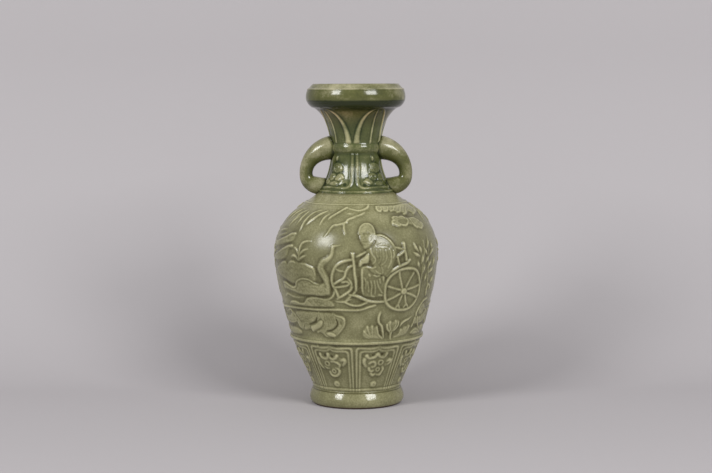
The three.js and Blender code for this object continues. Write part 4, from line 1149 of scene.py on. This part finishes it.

# Dish mouth: a thrown dish with an upright wall and a lip that leans in, luted on the trumpet. Its
# glaze is thin and pale on the lip. Under the wall it is painted dark, partly as pooled glaze and
# partly as painted shade.
DISH_RADIUS = 49.3
RIM_TOP = 320
CREASE_HEIGHT = 313.7
CREST_HEIGHT = 314.9

dish_outline = np.concatenate([
    arc((FLARE_RADIUS, FLARE_TOP), (46, 298.2), (47.6, 300), (48.3, 301.8), 16),
    arc((48.3, 301.8), (48.8, 302.2), (49.1, 303), (DISH_RADIUS, 304), 8)[1:],
    arc((DISH_RADIUS, 304), (50, 306.8), (49.6, 310.2), (48.5, 313.3), 20)[1:],
    arc((48.5, 313.3), (48.35, 313.7), (48.3, 313.8), (48.3, 314), 4)[1:],
    arc((48.3, 314), (48.5, 314.6), (48.2, 315.2), (47.3, 315.6), 12)[1:],
    arc((47.3, 315.6), (45.5, 316.3), (44.2, 319.2), (42.4, RIM_TOP), 12)[1:],
    arc((42.4, RIM_TOP), (40.5, RIM_TOP), (40.6, 317), (41.4, 311.3), 14)[1:],
    arc((41.4, 311.3), (42.8, 305.3), (42.8, 304.3), (38.8, 299.9), 14)[1:],
    [(35.8, FLARE_TOP)],
])
dish = turned("dish_mouth_glazed", dish_outline, 256)
rim_glaze = glaze(
    "rim_celadon_glaze",
    pool_and_shade=(0.02, 0.026, 0.007),
    ground=(0.09, 0.093, 0.029),
    thin=(0.37, 0.345, 0.215),
    rough=0.15,
    mottle=0.8,
)
dish_heights = vertex_places(dish)[:, 2]
lip = smoothstep(313, 316, dish_heights)
crease, crest = (
    np.exp(-(((dish_heights - height) / 0.6) ** 2)) for height in (CREASE_HEIGHT, CREST_HEIGHT)
)
# Painted shade: the wall's underside is painted dark, partly for pooled glaze and partly for the shade
# under the wall.
shade_and_pool_under_wall = smoothstep(304.8, 302.4, dish_heights)
dish_thinness_and_shade = 0.49 + 0.18 * lip + 0.14 * crest - 0.06 * crease - 0.5 * shade_and_pool_under_wall
coated(dish, rim_glaze, dish_thinness_and_shade)
stand_in(dish, "dish_mouth")

# Handles: two coils of clay, swollen where they spring from under the neck's moulding and pressed
# on the flared neck below. They were luted on last, and the glaze runs thin over their outer bends.
# The loops' inner sides and the rings where they meet the wall are painted darker, partly as pooled
# glaze and partly as painted shade.
HANDLE_REACH = 49.8
HANDLE_BEND = 231
HANDLE_THICKNESS = 13.2
UPPER_ROOT = 24.6
LOWER_ROOT = 17.4
HANDLE_ROWS = 110
HANDLE_SIDES = 72


def ease(share):
    return 0.5 - 0.5 * np.cos(np.pi * np.clip(share, 0, 1))


def handle(name, node, side):
    """One handle, from a grid that is wrapped round the handle's path"""
    bend_point = (HANDLE_REACH, HANDLE_BEND)
    upper = arc((18.8, 256.8), (38.02, 256.8), (HANDLE_REACH, 243.9), bend_point, 60)
    lower = arc(bend_point, (HANDLE_REACH, 223), (45, 218.3), (30.1, 217.6), 40)
    path = np.concatenate([upper, lower[1:]])
    length = lengths(path)
    bend = length[len(upper) - 1]
    bpy.ops.object.select_all(action="DESELECT")
    bpy.ops.mesh.primitive_grid_add(
        x_subdivisions=HANDLE_SIDES, y_subdivisions=HANDLE_ROWS, size=2, location=(0, 0, 0)
    )
    piece = bpy.context.object
    piece.name = piece.data.name = name
    flat = np.array([vertex.co for vertex in piece.data.vertices])
    at = (flat[:, 1] + 1) / 2 * length[-1]
    turn = pi * flat[:, 0]
    x, z = (np.interp(at, length, path[:, i]) for i in (0, 1))
    slope = np.gradient(path, axis=0) / np.hypot(*np.gradient(path, axis=0).T)[:, None]
    lean_x, lean_z = (np.interp(at, length, slope[:, i]) for i in (0, 1))
    swell = (UPPER_ROOT - HANDLE_THICKNESS) * ease(1 - at / bend)
    foot = (LOWER_ROOT - HANDLE_THICKNESS) * ease((at - bend) / (length[-1] - bend) * 1.4)
    radius = (HANDLE_THICKNESS + swell + foot) / 2
    off = radius * np.cos(turn)
    places = np.stack([x + lean_z * off, radius * np.sin(turn), z - lean_x * off], 1)
    roots = np.concatenate([shoulder_wall, collar_wall, neck_wall, trumpet_wall])
    in_wall = np.interp(places[:, 2], roots[:, 1], roots[:, 0]) - WALL / 2
    reach = np.hypot(places[:, 0], places[:, 1])
    push = np.maximum(in_wall / reach, 1)
    places[:, :2] *= push[:, None]
    places[:, 0] *= side
    piece.data.vertices.foreach_set("co", (places * MM).ravel())
    bpy.ops.object.mode_set(mode="EDIT")
    bpy.ops.mesh.select_all(action="SELECT")
    bpy.ops.mesh.remove_doubles(threshold=MERGE_GAP * MM)
    bpy.ops.mesh.fill_holes(sides=HANDLE_SIDES)
    bpy.ops.object.mode_set(mode="OBJECT")
    smoothed()
    # The glaze is thin over the outer bends. The loop's inner side and the ring where the coil meets
    # the wall are painted darker, partly as pooled glaze and partly as painted shade.
    spots = vertex_places(piece)
    spots[:, 0] *= side
    gaps = np.hypot(spots[:, :1] - path[None, :, 0], spots[:, 2:] - path[None, :, 1])
    nearest = np.argmin(gaps, 1)
    offset = spots[:, ::2] - path[nearest]
    outward = offset[:, 0] * slope[nearest, 1] - offset[:, 1] * slope[nearest, 0]
    clear = np.hypot(spots[:, 0], spots[:, 1]) - np.interp(spots[:, 2], roots[:, 1], roots[:, 0])
    share = length[nearest] / length[-1]
    arms = smoothstep(0.42, 0.16, share) + smoothstep(0.7, 0.86, share)
    inner_side = np.clip(outward, -5, 6) * smoothstep(0.8, 0.6, share)
    thinness = 0.46 + 0.14 * arms - 0.03 * inner_side - 0.6 * smoothstep(1.4, 0.2, clear)
    thinness -= 0.35 * smoothstep(4, 1, clear) * smoothstep(0.4, 0.25, share)
    coated(piece, rim_glaze, thinness)
    stand_in(piece, node)


handle("handle_right_glazed", "handle_right", 1)
handle("handle_left_glazed", "handle_left", -1)

# Studio: a grey paper sweep, two soft lamps in front of the vase and the room's grey light, all in
# metres. The paper shows only from its front, so that a camera behind it still sees the vase.
PAPER_SIDE = 3
PAPER_FRONT = -2.2
PAPER_BACK = 0.42
PAPER_HEIGHT = 2.6
PAPER_BEND = 0.365
CAMERA_DISTANCE = 1.67
CAMERA_HEIGHT = 0.322
CAMERA_TILT = 5.32
CAMERA_ROLL = -0.25

bpy.ops.object.select_all(action="DESELECT")
bpy.ops.mesh.primitive_plane_add(size=1, location=(0, 0, 0))
sweep = bpy.context.object
sweep.name = sweep.data.name = "paper_sweep"
corners = [(x, y, 0) for y in (PAPER_FRONT, PAPER_BACK) for x in (-PAPER_SIDE, PAPER_SIDE)]
for vertex, corner in zip(sweep.data.vertices, corners):
    vertex.co = corner
bpy.ops.object.mode_set(mode="EDIT")
bpy.ops.mesh.select_all(action="DESELECT")
bpy.ops.object.mode_set(mode="OBJECT")
for edge in sweep.data.edges:
    edge.select = all(sweep.data.vertices[i].co.y > 0 for i in edge.vertices)
bpy.ops.object.mode_set(mode="EDIT")
bpy.ops.mesh.extrude_region_move(TRANSFORM_OT_translate={"value": (0, 0, PAPER_HEIGHT)})
bpy.ops.object.mode_set(mode="OBJECT")
for edge in sweep.data.edges:
    edge.select = all(
        sweep.data.vertices[i].co.y > 0 and sweep.data.vertices[i].co.z < 0.1 for i in edge.vertices
    )
bpy.ops.object.mode_set(mode="EDIT")
bpy.ops.mesh.bevel(offset=PAPER_BEND, segments=32, affect="EDGES")
bpy.ops.object.mode_set(mode="OBJECT")
bpy.ops.object.shade_smooth_by_angle(angle=radians(60))
paper = bpy.data.materials.new("grey_paper")
paper.use_nodes = True
nodes, links = paper.node_tree.nodes, paper.node_tree.links
nodes["Principled BSDF"].inputs["Base Color"].default_value = (0.386, 0.367, 0.376, 1)
nodes["Principled BSDF"].inputs["Roughness"].default_value = 0.9
facing = nodes.new("ShaderNodeNewGeometry")
clear_back = nodes.new("ShaderNodeBsdfTransparent")
one_sided = nodes.new("ShaderNodeMixShader")
links.new(facing.outputs["Backfacing"], one_sided.inputs["Fac"])
links.new(nodes["Principled BSDF"].outputs["BSDF"], one_sided.inputs[1])
links.new(clear_back.outputs["BSDF"], one_sided.inputs[2])
links.new(one_sided.outputs["Shader"], nodes["Material Output"].inputs["Surface"])
sweep.data.materials.append(paper)


def softbox(name, azimuth, distance, height, width, depth, power):
    """A soft lamp that is aimed at the middle of the vase"""
    turn = radians(azimuth)
    bpy.ops.object.light_add(type="AREA", location=(distance * sin(turn), -distance * cos(turn), height))
    lamp = bpy.context.object
    lamp.name = name
    lamp.data.shape = "RECTANGLE"
    lamp.data.size, lamp.data.size_y = width, depth
    lamp.data.energy = power
    aim = Vector((0, 0, RIM_TOP / 2 * MM)) - lamp.location
    lamp.rotation_euler = aim.to_track_quat("-Z", "Y").to_euler()


softbox("softbox_left", azimuth=-48, distance=2, height=1.25, width=0.7, depth=0.75, power=30.5)
softbox("softbox_right", azimuth=38, distance=2, height=1.25, width=0.92, depth=0.75, power=36.5)

world = bpy.data.worlds.new("grey_room")
scene.world = world
world.use_nodes = True
world.node_tree.nodes["Background"].inputs["Color"].default_value = (0.8, 0.8, 0.81, 1)
world.node_tree.nodes["Background"].inputs["Strength"].default_value = 0.54

bpy.ops.object.camera_add(location=(0, -CAMERA_DISTANCE, CAMERA_HEIGHT))
camera = bpy.context.object
camera.rotation_mode = "ZYX"
camera.rotation_euler = (radians(90 - CAMERA_TILT), 0, radians(CAMERA_ROLL))
camera.data.lens = 84.5
camera.data.shift_x = -0.0003
camera.data.shift_y = 0.001
scene.camera = camera
